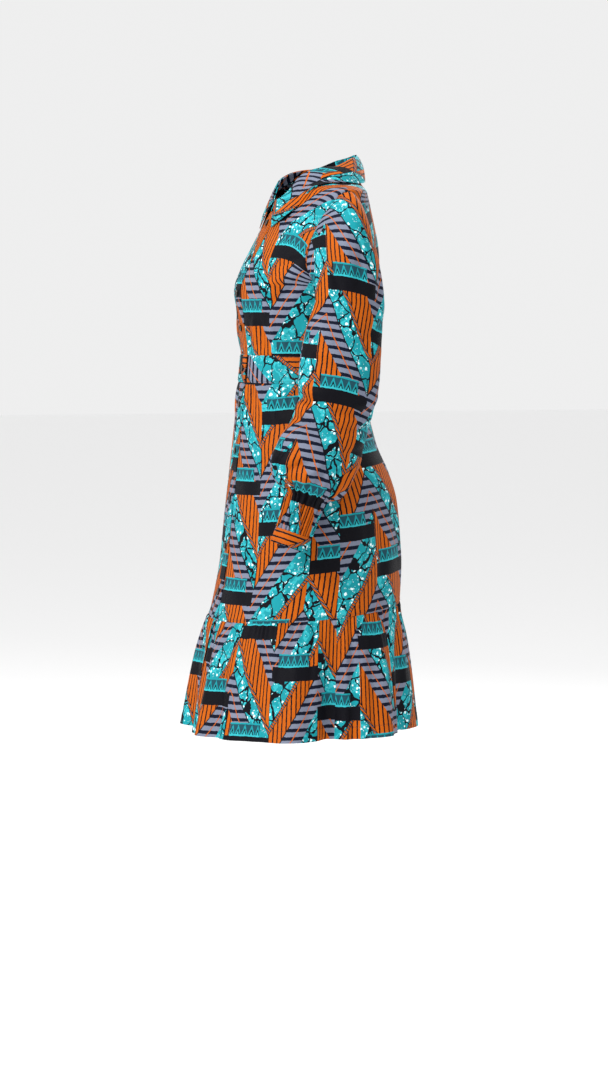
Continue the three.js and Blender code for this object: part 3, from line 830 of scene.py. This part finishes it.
def back_edge(v):
    if v <= NECK_SHARE:
        return HALF_TURN, mix(WAIST_TOP, 0, v / NECK_SHARE)
    return back_neckline((v - NECK_SHARE) / (1 - NECK_SHARE))


def body_grid(rows, columns, place):
    """Points and reliefs of a piece of the body; place gives angle, height and lift."""
    grid, reliefs = [], []
    for v in rows:
        spots = [place(u, v) for u in columns]
        grid.append([on_dress(angle, z) for angle, z, _ in spots])
        reliefs.append([lift + body_relief(angle, z) for angle, z, lift in spots])
    return grid, reliefs


def bodice_place(open_edge, cut, toward_side):
    def place(u, v):
        share = u if toward_side else 1 - u
        open_angle, open_z = open_edge(v)
        side_angle, side_z = side_edge(v, cut)
        return mix(open_angle, side_angle, share), mix(open_z, side_z, share), 0
    return place


def other_side(place):
    """The same piece on the other side of the body."""
    def mirrored(u, v):
        angle, z, lift = place(1 - u, v)
        return -angle, z, lift
    return mirrored


def both_sides(left):
    """One piece across the centre back, from the left side to the right."""
    def place(u, v):
        if u <= 0.5:
            return left(2 * u, v)
        angle, z, lift = left(2 - 2 * u, v)
        return FULL_TURN - angle, z, lift
    return place


class DRESS_OT_bodice(bpy.types.Operator):
    """Adds the bodice's two fronts and its back"""
    bl_idname = "dress.bodice"
    bl_label = "Bodice"

    def execute(self, context):
        rows, columns = edge_shares(78), edge_shares(44)
        left = bodice_place(front_edge, ARMHOLE_FRONT, True)
        fronts = {"left": (left, (0.012, 0.020)), "right": (other_side(left), (0.071, 0.058))}
        for side, (place, start) in fronts.items():
            grid, reliefs = body_grid(rows, columns, place)
            add_cloth(f"bodice_front_{side}", displaced(grid, reliefs, "lrb"),
                      print_places(grid, start))
        place = both_sides(bodice_place(back_edge, -ARMHOLE_BACK, False))
        grid, reliefs = body_grid(rows, edge_shares(88), place)
        add_cloth("bodice_back", displaced(grid, reliefs, "lrb"),
                  print_places(grid, (0.038, 0.092)))
        return {"FINISHED"}


# ---- Bands, waistband, skirt and flounce ----
def lap_depth(across):
    return LAP_STEP * (1 - ease(across, BAND_HALF_WIDTH, 2.5 * BAND_HALF_WIDTH))


def band_grid(bottom, top, rows, lift):
    across = [BAND_HALF_WIDTH * share for share in (-1, -0.97, -0.85, -0.5, 0, 0.5, 0.85, 0.97, 1)]
    grid, reliefs = [], []
    for v in edge_shares(rows):
        z = mix(bottom, top, v)
        angles = [signed_angle(value, z) for value in across]
        grid.append([on_dress(angle, z) for angle in angles])
        edge = [0.5 * (abs(value) > 0.96 * BAND_HALF_WIDTH) for value in across]
        reliefs.append([
            lift + body_relief(angle, z) - rounding for angle, rounding in zip(angles, edge)])
    return grid, reliefs


class DRESS_OT_bands(bpy.types.Operator):
    """Adds the button and buttonhole bands down the bodice and the skirt"""
    bl_idname = "dress.bands"
    bl_label = "Front bands"

    def execute(self, context):
        spans = {"bodice": (WAIST_TOP, FRONT_NECK, 60), "skirt": (FLOUNCE_TOP, WAIST_BOTTOM, 80)}
        for part, (bottom, top, rows) in spans.items():
            layers = {"button": BAND_PROUD - LAP_STEP, "buttonhole": BAND_PROUD + OVER_BAND_LIFT}
            for layer, lift in layers.items():
                grid, reliefs = band_grid(bottom, top, rows, lift)
                node = f"{layer}_band_{part}"
                start = (0.170, 0.020) if part == "bodice" else (0.060, 0.120)
                add_cloth(node, displaced(grid, reliefs, "tb"), print_places(grid, start),
                          faced=True)
        return {"FINISHED"}


def lapped_place(bottom, top, side, lift):
    """A front that laps at the centre: under on the wearer's left, over on the right."""
    def place(u, v):
        z = mix(bottom, top, v)
        start = -angle_across(BAND_HALF_WIDTH, z)
        if side == "left":
            angle = mix(start, QUARTER, u)
            across = on_dress(angle, z).x
            return angle, z, lift - lap_depth(across)
        return mix(-QUARTER, -start, u), z, lift
    return place


def panel_place(bottom, top, start, end, lift=0):
    def place(u, v):
        z = mix(bottom, top, v)
        return mix(start(z), end(z), u), z, lift
    return place


def left_seam(z):
    return QUARTER


def right_seam(z):
    """The right side seam, counted on round the back."""
    return FULL_TURN - QUARTER


def right_seam_from_front(z):
    return -QUARTER


def left_of_band(z):
    return angle_across(BAND_HALF_WIDTH, z)


def right_of_band(z):
    return -angle_across(BAND_HALF_WIDTH, z)


class DRESS_OT_waistband(bpy.types.Operator):
    """Adds the waistband, with its print turned a quarter turn"""
    bl_idname = "dress.waistband"
    bl_label = "Waistband"

    def execute(self, context):
        rows = edge_shares(12)
        for side, start in (("left", (0.050, 0.310)), ("right", (0.092, 0.205))):
            place = lapped_place(WAIST_BOTTOM, WAIST_TOP, side, WAISTBAND_PROUD)
            grid, reliefs = body_grid(rows, edge_shares(60), place)
            sewn = "rtb" if side == "left" else "ltb"
            add_cloth(f"waistband_front_{side}", displaced(grid, reliefs, sewn),
                      print_places(grid, start, turned=True),
                      faced=True)
        place = panel_place(WAIST_BOTTOM, WAIST_TOP, left_seam, right_seam, WAISTBAND_PROUD)
        grid, reliefs = body_grid(rows, edge_shares(110), place)
        add_cloth("waistband_back", displaced(grid, reliefs, "lrtb"),
                  print_places(grid, (0.020, 0.170), turned=True),
                  faced=True)
        return {"FINISHED"}


class DRESS_OT_skirt(bpy.types.Operator):
    """Adds the skirt's two fronts and its back"""
    bl_idname = "dress.skirt"
    bl_label = "Skirt"

    def execute(self, context):
        rows = edge_shares(90)
        panels = {
            "skirt_front_left": (left_of_band, left_seam, 64, (0.030, 0.040), "skirt_front"),
            "skirt_front_right": (right_seam_from_front, right_of_band, 64, (0.118, 0.101),
                                  "skirt_front"),
            "skirt_back": (left_seam, right_seam, 128, (0.088, 0.012), "skirt_back"),
        }
        for node, (start, end, columns, print_start, cut) in panels.items():
            place = panel_place(FLOUNCE_TOP, WAIST_BOTTOM, start, end)
            grid, reliefs = body_grid(rows, edge_shares(columns), place)
            add_cloth(node, displaced(grid, reliefs, "lrtb"), print_places(grid, print_start))
        return {"FINISHED"}


class DRESS_OT_flounce(bpy.types.Operator):
    """Adds the gathered flounce with its folds and turned hem"""
    bl_idname = "dress.flounce"
    bl_label = "Flounce"

    def execute(self, context):
        rows = edge_shares(44)
        for side, start in (("left", (0.135, 0.135)), ("right", (0.010, 0.030))):
            place = lapped_place(HEM, FLOUNCE_TOP, side, 0)
            grid, reliefs = body_grid(rows, edge_shares(150), place)
            sewn = "rt" if side == "left" else "lt"
            add_cloth(f"flounce_front_{side}", displaced(grid, reliefs, sewn),
                      print_places(grid, start, CUTS["flounce_front"][0]))
        place = panel_place(HEM, FLOUNCE_TOP, left_seam, right_seam)
        grid, reliefs = body_grid(rows, edge_shares(290), place)
        add_cloth("flounce_back", displaced(grid, reliefs, "lrt"),
                  print_places(grid, (0.060, 0.060), CUTS["flounce_back"][0]))
        return {"FINISHED"}


# ---- Sleeves and cuffs ----
HEAD_TUCK = 0.8  # how far the sleeve head is tucked in at the armhole seam
HEAD_LEAVE, HEAD_ARRIVE = (0.5, 1.15), (0.7, 1.25)  # how strongly it sets off and lands: low, high
HEAD_SPLAY = 0.06
HEAD_DROP = (0.1, 0.5)  # how steeply it leaves the shoulder, and how much more under the arm
HEAD_EASE_DEPTH, HEAD_EASE_RUN = 1.2, 0.16
WRIST_GATHER_DEPTH, WRIST_FINE_DEPTH = 2.6, 1.1
WRIST_GATHER_START, WRIST_GATHER_END = -492, -548


def sleeve_rings(side):
    """The sleeve's rings, before the right one is mirrored."""
    if side == "left":
        return SLEEVE_RINGS
    first, last = SLEEVE_RINGS[0], SLEEVE_RINGS[-1]
    rings = []
    for z, x, y, depth, breadth, tilt in SLEEVE_RINGS:
        out = RIGHT_OUT * ease(first[0] - z, 0, first[0] - last[0])
        rings.append((z, x + out, mix(first[2], y, RIGHT_SWING), depth, breadth,
                      mix(first[5], tilt, RIGHT_SWING)))
    return rings


def ring_point(ring, turn, out=0):
    z, x, y, depth, breadth, tilt = ring
    lean, place = math.radians(tilt), math.radians(turn)
    forward = (depth + out) * math.cos(place)
    across = (breadth + out) * math.sin(place)
    return Vector((x + across, y - forward * math.cos(lean), z + forward * math.sin(lean)))


def ring_between(rings, z):
    return (z, *(value_at(rings, 1 + key, z) for key in range(len(RING_KEYS))))


def head_point(rings, turn, way):
    """The sleeve head, from the armhole (way 0) over the top of the arm to the first ring (1)."""
    sine, cosine = math.sin(math.radians(turn)), math.cos(math.radians(turn))
    cut = ARMHOLE_FRONT if cosine > 0 else ARMHOLE_BACK
    start = on_dress(*armhole_edge(turn, cut)) - Vector((HEAD_TUCK, 0, 0))
    end = ring_point(rings[0], turn)
    reach = (end - start).length
    high = (1 + sine) / 2
    drop = HEAD_DROP[0] + HEAD_DROP[1] * (1 - high)
    leave = Vector((0.95, -HEAD_SPLAY * cosine, -drop)).normalized()
    leave *= reach * mix(*HEAD_LEAVE, high)
    arrive = Vector((0, 0, -reach * mix(*HEAD_ARRIVE, high)))
    return (
        start * (2 * way**3 - 3 * way**2 + 1) + leave * (way**3 - 2 * way**2 + way)
        + end * (3 * way**2 - 2 * way**3) + arrive * (way**3 - way**2)
    )


def sleeve_relief(turn, z):
    """Creases of the arm, then the gathers into the narrow end."""
    relief = crease_depth(SLEEVE_CREASES, turn, z, ARM_ARC)
    gathered = ease(-z, -WRIST_GATHER_START, -WRIST_GATHER_END)
    relief += WRIST_GATHERS(turn) * WRIST_GATHER_DEPTH * gathered
    relief += WRIST_FINE(turn) * WRIST_FINE_DEPTH * gathered
    return relief


def sleeve_grid(rings):
    columns, arm_rows, head_rows = 150, 128, 34
    turns = [FULL_TURN * column / columns for column in range(columns + 1)]
    grid, reliefs = [], []
    bottom, top = rings[-1][0], rings[0][0]
    for row in range(arm_rows + 1):
        z = mix(bottom, top, row / arm_rows)
        ring = ring_between(rings, z)
        grid.append([ring_point(ring, turn) for turn in turns])
        reliefs.append([sleeve_relief(turn, z) for turn in turns])
    for row in range(1, head_rows + 1):
        way = 1 - row / head_rows
        line = [head_point(rings, turn, way) for turn in turns]
        eased = HEAD_EASE_DEPTH * math.exp(-((way / HEAD_EASE_RUN) ** 2))
        grid.append(line)
        reliefs.append([
            crease_depth(SLEEVE_CREASES, turn, point.z, ARM_ARC)
            + eased * HEAD_EASE(turn) * max(0, math.sin(math.radians(turn)))
            for turn, point in zip(turns, line)])
    return grid, reliefs


class DRESS_OT_sleeves(bpy.types.Operator):
    """Adds the two bishop sleeves, gathered into a narrow end above the cuff"""
    bl_idname = "dress.sleeves"
    bl_label = "Sleeves"

    def execute(self, context):
        for side, start in (("left", (0.055, 0.020)), ("right", (0.140, 0.090))):
            grid, reliefs = sleeve_grid(sleeve_rings(side))
            moved = displaced(grid, reliefs, ring=True)
            if side == "right":
                grid, moved = mirror_grid(grid), mirror_grid(moved)
            places = print_places(grid, start, CUTS["sleeve"][0])
            add_cloth(f"sleeve_{side}", moved, places,
                      ring=True)
        return {"FINISHED"}


def cuff_grid(rings):
    """The cuff winds once round the wrist and laps over its own start."""
    columns = 120
    top = rings[-1]
    lean = math.radians(top[5])
    down = Vector((0, -math.sin(lean), -math.cos(lean)))
    grid = []
    for share in edge_shares(8):
        drop = mix(CUFF_DEEP, 0, share)
        line = []
        for column in range(columns + 1):
            way = column / columns
            turn = CUFF_LAP_START + CUFF_TURN * way
            line.append(ring_point(top, turn, LAP_STEP * (way - 0.5) + CUFF_EASE) + down * drop)
        grid.append(line)
    return grid


class DRESS_OT_cuffs(bpy.types.Operator):
    """Adds the two narrow lapped cuffs"""
    bl_idname = "dress.cuffs"
    bl_label = "Cuffs"

    def execute(self, context):
        for side, start in (("left", (0.172, 0.045)), ("right", (0.120, 0.150))):
            grid = cuff_grid(sleeve_rings(side))
            moved = displaced(grid, flat_reliefs(grid), "t")
            if side == "right":
                moved = mirror_grid(moved)
            add_cloth(f"cuff_{side}", moved, print_places(grid, start, turned=True),
                      faced=True)
        return {"FINISHED"}


# ---- Collar ----
LEAF_FOLD = 3.2  # how far the leaf's fold stands off the top of the stand
LEAF_CLEARANCE = 3.2
LEAF_BULGE = (6, 1)  # at the centre back and at the points
LEAF_BULGE_SPAN = (0.45, 0.9)


def neckline_place(around):
    return back_neckline(2 * around) if around <= 0.5 else front_neckline(2 * (1 - around))


def stand_line(around):
    """The stand's foot and top at one place round the neck, and the way it faces."""
    step = 0.01
    foot = on_dress(*neckline_place(around))
    along = (on_dress(*neckline_place(min(1, around + step)))
             - on_dress(*neckline_place(max(0, around - step))))
    facing = Vector((0, 1, 0)) if around == 0 else Vector((-along.y, along.x, 0)).normalized()
    rise, lean = value_at(COLLAR, 1, around), value_at(COLLAR, 2, around)
    return foot, foot + UP * rise - facing * lean, facing


def stand_point(around, row):
    foot, top, _ = stand_line(around)
    return foot.lerp(top, row)


def clear_of_bodice(point):
    """Moves a point of the leaf up and out until it is clear of the bodice."""
    step = 0.5
    push = Vector((point.x, point.y, 2 * NECK_HALF_WIDTH)).normalized()

    def inside(place):
        if place.z > SECTIONS[0][0]:
            return False
        side, front, back, mid, curve = section(place.z)
        depth = front if place.y < mid else back
        return abs(place.x / side) ** curve + abs((place.y - mid) / depth) ** curve < 1
    point = point.copy()
    while inside(point - push * LEAF_CLEARANCE):
        point += push * step
    return point


def leaf_point(around, way):
    """The leaf from its fold on the stand (way 0) to its outer edge (1)."""
    bulge = mix(*LEAF_BULGE, ease(around, *LEAF_BULGE_SPAN))
    _, top, facing = stand_line(around)
    fold = top + facing * LEAF_FOLD + UP
    edge = Vector(tuple(value_at(COLLAR, key, around) for key in (3, 4, 5)))
    swell = (facing + UP).normalized() * bulge * 4 * way * (1 - way)
    return clear_of_bodice(fold.lerp(edge, way) + swell)


def leaf_from_edge(around, row):
    return leaf_point(around, 1 - row)


def collar_grid(line_at, rows, columns):
    """Left half from front to back, then its mirror."""
    front_end = 0.985
    around = [min(front_end, 1 - column / columns) for column in range(columns + 1)]
    grid = []
    for row in rows:
        half = [line_at(place, row) for place in around]
        grid.append(half + [Vector((-p.x, p.y, p.z)) for p in reversed(half[:-1])])
    return grid


class DRESS_OT_collar(bpy.types.Operator):
    """Adds the collar's stand and its pointed leaf"""
    bl_idname = "dress.collar"
    bl_label = "Collar"

    def execute(self, context):
        grid = collar_grid(stand_point, edge_shares(8), 60)
        add_cloth("collar_stand", displaced(grid, flat_reliefs(grid), "b"),
                  print_places(grid, (0.020, 0.075), turned=True),
                  faced=True)
        grid = collar_grid(leaf_from_edge, edge_shares(22), 70)
        add_cloth("collar_leaf", displaced(grid, flat_reliefs(grid)),
                  print_places(grid, (0.080, 0.020), turned=True),
                  faced=True)
        return {"FINISHED"}


# ---- Buttons and stitching ----
def edit_select(obj, test):
    """Selects in edit mode the faces that pass a test, and nothing else."""
    data = bmesh.from_edit_mesh(obj.data)
    bpy.ops.mesh.select_mode(type="FACE")
    for face in data.faces:
        face.select_set(bool(test(face)))
    data.select_flush_mode()
    bmesh.update_edit_mesh(obj.data)


def model_button(radius, thick):
    """One button: a dished disc with a rounded rim and four holes, lying on the ground plane."""
    bpy.ops.object.select_all(action="DESELECT")
    bpy.ops.mesh.primitive_cylinder_add(vertices=40, radius=radius, depth=thick)
    button = bpy.context.object
    bpy.ops.object.mode_set(mode="EDIT")
    edit_select(button, lambda face: face.normal.z > 0.9)
    bpy.ops.mesh.inset(thickness=radius * 0.24)
    bpy.ops.mesh.extrude_region_move(TRANSFORM_OT_translate={"value": (0, 0, -thick * 0.22)})
    bpy.ops.mesh.inset(thickness=radius * 0.06)
    bpy.ops.mesh.select_all(action="DESELECT")
    bpy.ops.object.mode_set(mode="OBJECT")
    rim = button.modifiers.new("rim", "BEVEL")
    rim.width = radius * 0.05
    rim.segments = 3
    rim.limit_method = "ANGLE"
    bpy.ops.object.modifier_apply(modifier=rim.name)
    for turn in range(4):
        place = math.radians(45 + QUARTER * turn)
        spot = (math.cos(place) * radius * 0.27, math.sin(place) * radius * 0.27, 0)
        bpy.ops.object.select_all(action="DESELECT")
        bpy.ops.mesh.primitive_cylinder_add(
            vertices=12, radius=radius * 0.11, depth=thick * 3, location=spot)
        drill = bpy.context.object
        show_only(button)
        hole = button.modifiers.new("hole", "BOOLEAN")
        hole.object = drill
        hole.operation = "DIFFERENCE"
        hole.solver = "EXACT"
        bpy.ops.object.modifier_apply(modifier=hole.name)
        bpy.data.objects.remove(drill)
    show_only(button)
    bpy.ops.object.shade_smooth_by_angle(angle=math.radians(35))
    return button


class DRESS_OT_buttons(bpy.types.Operator):
    """Adds the buttons down the front, each a copy of one modelled button"""
    bl_idname = "dress.buttons"
    bl_label = "Buttons"

    def execute(self, context):
        sizes = context.scene.dress_trim
        pattern = model_button(sizes.button_radius, sizes.button_thickness)
        pattern.data.materials.clear()
        pattern.data.materials.append(material_named("button_shell"))
        band_lift = BAND_PROUD + OVER_BAND_LIFT
        lifts = {"bodice": band_lift, "waist": WAISTBAND_PROUD, "skirt": band_lift}
        for part, heights in BUTTON_HEIGHTS.items():
            for index, z in enumerate(heights):
                point, normal = body_point(0, z, lifts[part])
                centre = (point + normal * 0.6) * MM + normal * sizes.button_thickness / 2
                turn = UP.rotation_difference(normal).to_matrix().to_4x4()
                mesh = pattern.data.copy()
                mesh.transform(turn)
                mesh.transform(turn.Translation(centre))
                button = bpy.data.objects.new(f"button_{part}_{index + 1}_shell", mesh)
                context.scene.collection.objects.link(button)
                declare(button, [f"button_{part}_{index + 1}"])
        bpy.data.objects.remove(pattern)
        return {"FINISHED"}


def stitch_run(points, normals, pitch, length, radius):
    """Short spindles laid end to end along a line; all in metres."""
    verts, faces = [], []
    travelled, due = 0.0, pitch / 2
    for (a, b), normal in zip(zip(points, points[1:]), normals):
        step = (b - a).length
        while step > 0 and due <= travelled + step:
            centre = a.lerp(b, (due - travelled) / step)
            along = (b - a).normalized()
            side = along.cross(normal).normalized()
            first = len(verts)
            verts.append(centre - along * length / 2)
            for place in (-0.25, 0.25):
                for turn in range(4):
                    angle = math.pi / 4 + turn * math.pi / 2
                    verts.append(centre + along * place * length
                                 + side * math.cos(angle) * radius
                                 + normal * (math.sin(angle) + 0.8) * radius)
            verts.append(centre + along * length / 2)
            for turn in range(4):
                beside = (turn + 1) % 4
                faces.append((first, first + 1 + beside, first + 1 + turn))
                faces.append((first + 1 + turn, first + 1 + beside,
                              first + 5 + beside, first + 5 + turn))
                faces.append((first + 5 + turn, first + 5 + beside, first + 9))
            due += pitch
        travelled += step
    return verts, faces


def body_line(places, lift):
    """A stitch line over the body through places of angle and height."""
    pairs = [body_point(angle, z, lift) for angle, z in places]
    return [point * MM for point, _ in pairs], [normal for _, normal in pairs]


def level_line(z, start, end, lift, count):
    return body_line([(mix(start, end, step / count), z) for step in range(count + 1)], lift)


def upright_line(across, bottom, top, lift, count=90):
    heights = [mix(bottom, top, step / count) for step in range(count + 1)]
    return body_line([(signed_angle(across, z), z) for z in heights], lift)


def surface_line(points, normals):
    """A stitch line along points in millimetres, with their outward directions."""
    return [point * MM for point in points], normals


def add_stitches(name, lines, context):
    sizes = context.scene.dress_trim
    verts, faces = [], []
    for points, normals in lines:
        more, shapes = stitch_run(
            points, normals, sizes.stitch_pitch, sizes.stitch_length, sizes.thread_radius)
        shift = len(verts)
        verts += more
        faces += [tuple(index + shift for index in shape) for shape in shapes]
    mesh = bpy.data.meshes.new(name)
    mesh.from_pydata(verts, [], faces)
    mesh.materials.append(material_named("sewing_thread"))
    piece = bpy.data.objects.new(name, mesh)
    context.scene.collection.objects.link(piece)
    show_only(piece)
    bpy.ops.object.mode_set(mode="EDIT")
    bpy.ops.mesh.select_all(action="SELECT")
    bpy.ops.mesh.normals_make_consistent(inside=False)
    bpy.ops.object.mode_set(mode="OBJECT")
    bpy.ops.object.shade_smooth_by_angle(angle=math.radians(50))
    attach(piece, "root")
    return piece


def buttonhole_lines(z, lift):
    """The two upright sides of a buttonhole, one on each side of the button's middle."""
    half_length, half_width = 8, 1.1
    return [upright_line(across, z - half_length, z + half_length, lift, 12)
            for across in (-half_width, half_width)]


class DRESS_OT_stitching(bpy.types.Operator):
    """Adds the topstitching along bands, waistband, flounce, hem, cuffs and collar"""
    bl_idname = "dress.stitching"
    bl_label = "Topstitching"

    def execute(self, context):
        band_lift = BAND_PROUD + OVER_BAND_LIFT
        inset = 3
        edge = BAND_HALF_WIDTH - inset
        bands = []
        for bottom, top in ((WAIST_TOP, FRONT_NECK), (FLOUNCE_TOP, WAIST_BOTTOM)):
            bands += [upright_line(across, bottom + inset, top - inset, band_lift)
                      for across in (-edge, edge)]
        for part in ("bodice", "skirt"):
            for z in BUTTON_HEIGHTS[part]:
                bands += buttonhole_lines(z, band_lift)
        add_stitches("band_stitching", bands, context)
        waist = [level_line(z, -QUARTER, FULL_TURN - QUARTER, WAISTBAND_PROUD, 420)
                 for z in (WAIST_TOP - inset, WAIST_BOTTOM + inset)]
        add_stitches("waistband_stitching", waist, context)
        rounds = [
            level_line(FLOUNCE_TOP + 4, 8, FULL_TURN - 8, 0, 520),
            level_line(HEM + HEM_TURNED_UP, 8, FULL_TURN - 8, HEM_PROUD, 900),
        ]
        add_stitches("flounce_stitching", rounds, context)
        cuffs = []
        for side in ("left", "right"):
            grid = cuff_grid(sleeve_rings(side))
            if side == "right":
                grid = mirror_grid(grid)
            normals = grid_normals(grid)
            lower = [a.lerp(b, 0.35) for a, b in zip(grid[3], grid[4])]
            upper = [a.lerp(b, 0.65) for a, b in zip(grid[-5], grid[-4])]
            for line in (lower, upper):
                cuffs.append(surface_line(line, normals[4]))
        add_stitches("cuff_stitching", cuffs, context)
        grid = collar_grid(leaf_from_edge, [0.0, 0.08, 0.16], 90)
        normals = grid_normals(grid)
        add_stitches("collar_stitching", [surface_line(grid[1], normals[1])], context)
        return {"FINISHED"}


# ---- Studio ----
CAMERA_TURN = 74  # degrees round from the front, towards the wearer's left
CAMERA_REACH = 5.2
CAMERA_HEIGHT = -0.23
AIM_SIDE = 0.014
AIM_HEIGHT = -0.639
CAMERA_LENS = 99.33
FLOOR_HEIGHT = -1.53


def add_light(name, place, aim, size, power, colour=(1, 1, 1)):
    light = bpy.data.lights.new(name, "AREA")
    light.shape = "DISK"
    light.size = size
    light.energy = power
    light.color = colour
    lamp = bpy.data.objects.new(name, light)
    lamp.location = place
    lamp.rotation_euler = (Vector(aim) - Vector(place)).to_track_quat("-Z", "Y").to_euler()
    bpy.context.scene.collection.objects.link(lamp)


class DRESS_OT_stage(bpy.types.Operator):
    """Adds the plain floor, the soft studio lights and the camera"""
    bl_idname = "dress.stage"
    bl_label = "Studio"

    def execute(self, context):
        bpy.ops.object.select_all(action="DESELECT")
        bpy.ops.mesh.primitive_plane_add(size=60, location=(0, 0, FLOOR_HEIGHT))
        floor = context.object
        floor.name = "studio_floor"
        bpy.ops.object.transform_apply(location=True, rotation=False, scale=False)
        floor.data.materials.append(material_named("studio_floor"))
        turn = math.radians(CAMERA_TURN)
        lens = bpy.data.cameras.new("camera")
        lens.sensor_width = 36
        lens.lens = CAMERA_LENS
        camera = bpy.data.objects.new("camera", lens)
        camera.location = (math.sin(turn) * CAMERA_REACH, -math.cos(turn) * CAMERA_REACH, CAMERA_HEIGHT)
        aim = Vector((-math.cos(turn) * AIM_SIDE, -math.sin(turn) * AIM_SIDE, AIM_HEIGHT))
        camera.rotation_euler = (aim - camera.location).to_track_quat("-Z", "Y").to_euler()
        context.scene.collection.objects.link(camera)
        context.scene.camera = camera
        middle = (0, 0, -0.45)
        add_light("key", (1.5, -3.5, 1.9), middle, 1.2, 190)
        add_light("fill", (3.8, 1.8, 0.4), middle, 2.4, 14)
        add_light("back", (-2.6, 2.4, 1.6), middle, 1.6, 60)
        add_light("top", (0.5, 0.2, 3.0), middle, 1.6, 50)
        world = bpy.data.worlds.new("studio")
        world.use_nodes = True
        world.node_tree.nodes["Background"].inputs["Color"].default_value = (1, 1, 1, 1)
        world.node_tree.nodes["Background"].inputs["Strength"].default_value = 0.86
        context.scene.world = world
        context.scene.view_settings.view_transform = "Standard"
        return {"FINISHED"}


# ---- Settings, panel and registration ----
def colour_property(name, description, default):
    return FloatVectorProperty(
        name=name, description=description, subtype="COLOR", size=3, min=0, max=1, default=default)


def length_property(name, description, default):
    return FloatProperty(
        name=name, description=description, unit="LENGTH", subtype="DISTANCE", min=0,
        default=default, precision=5)


class ClothSettings(bpy.types.PropertyGroup):
    thickness: length_property("Thickness", "Thickness of a single layer of cloth", 0.0007)
    faced_thickness: length_property("Faced thickness", "Thickness of folded, faced pieces", 0.0015)


class TrimSettings(bpy.types.PropertyGroup):
    button_radius: length_property("Button radius", "Radius of a button", 0.0055)
    button_thickness: length_property("Button thickness", "Thickness of a button", 0.0024)
    stitch_pitch: length_property("Stitch pitch", "From one stitch to the next", 0.0034)
    stitch_length: length_property("Stitch length", "Length of one stitch", 0.0027)
    thread_radius: length_property("Thread radius", "Half the thread's thickness", 0.00022)


class PrintSettings(bpy.types.PropertyGroup):
    repeat_width: length_property("Repeat width", "Width of the print's repeat", 0.210)
    repeat_height: length_property("Repeat height", "Height of the print's repeat", 0.190)
    chevron_rise: FloatProperty(
        name="Chevron rise", description="Rise of a chevron's leg in repeat heights", default=0.8)
    pinstripe_pitch: length_property("Pinstripe pitch", "From one pinstripe to the next", 0.0095)
    bar_pitch: length_property("Bar pitch", "From one level bar to the next", 0.014)
    thread_pitch: length_property("Thread pitch", "From one thread of the weave to the next", 0.0008)


class ColourSettings(bpy.types.PropertyGroup):
    teal: colour_property("Teal", "Ground of the crackled field", (0.007, 0.230, 0.265))
    teal_light: colour_property("Light teal", "Lighter dye of the crackled field", (0.026, 0.35, 0.39))
    deep_teal: colour_property("Deep teal", "Ground of the sawtooth bands", (0.010, 0.055, 0.075))
    orange: colour_property("Orange", "Pinstriped field, rope and lines", (0.410, 0.082, 0.002))
    grey: colour_property("Lavender grey", "Bars of the grey field", (0.150, 0.168, 0.228))
    navy: colour_property("Navy", "Dark bars", (0.002, 0.004, 0.014))
    black: colour_property("Black", "Blocks, pinstripes and cracks", (0.002, 0.002, 0.004))
    pale: colour_property("Pale", "Bubbles in the crackle", (0.62, 0.78, 0.80))
    thread: colour_property("Thread", "Sewing thread", (0.010, 0.020, 0.030))
    button: colour_property("Button", "Dark shell of the buttons", (0.012, 0.007, 0.004))
    floor: colour_property("Floor", "Studio floor", (0.96, 0.96, 0.96))


PIECE_OPERATORS = (
    DRESS_OT_stage, DRESS_OT_bodice, DRESS_OT_bands, DRESS_OT_waistband, DRESS_OT_skirt,
    DRESS_OT_flounce, DRESS_OT_sleeves, DRESS_OT_cuffs, DRESS_OT_collar, DRESS_OT_buttons,
    DRESS_OT_stitching,
)


class DRESS_PT_panel(bpy.types.Panel):
    """Lists the dress's sizes, colours and pieces"""
    bl_label = "Wax Print Dress"
    bl_idname = "DRESS_PT_panel"
    bl_space_type = "VIEW_3D"
    bl_region_type = "UI"
    bl_category = "Dress"

    def draw(self, context):
        for group in SETTINGS:
            box = self.layout.box()
            settings = getattr(context.scene, group)
            for name in settings.bl_rna.properties.keys():
                if name not in {"rna_type", "name"}:
                    box.prop(settings, name)
        for operator in PIECE_OPERATORS:
            self.layout.operator(operator.bl_idname)


SETTINGS = {
    "dress_cloth": ClothSettings,
    "dress_trim": TrimSettings,
    "dress_print": PrintSettings,
    "dress_colours": ColourSettings,
}


def register():
    for item in (*SETTINGS.values(), *PIECE_OPERATORS, DRESS_PT_panel):
        bpy.utils.register_class(item)
    for name, group in SETTINGS.items():
        setattr(bpy.types.Scene, name, PointerProperty(type=group))


def unregister():
    for name in SETTINGS:
        delattr(bpy.types.Scene, name)
    for item in reversed((*SETTINGS.values(), *PIECE_OPERATORS, DRESS_PT_panel)):
        bpy.utils.unregister_class(item)


def main():
    register()
    for operator in PIECE_OPERATORS:
        group, name = operator.bl_idname.split(".")
        getattr(getattr(bpy.ops, group), name)()


if __name__ == "__main__":
    main()
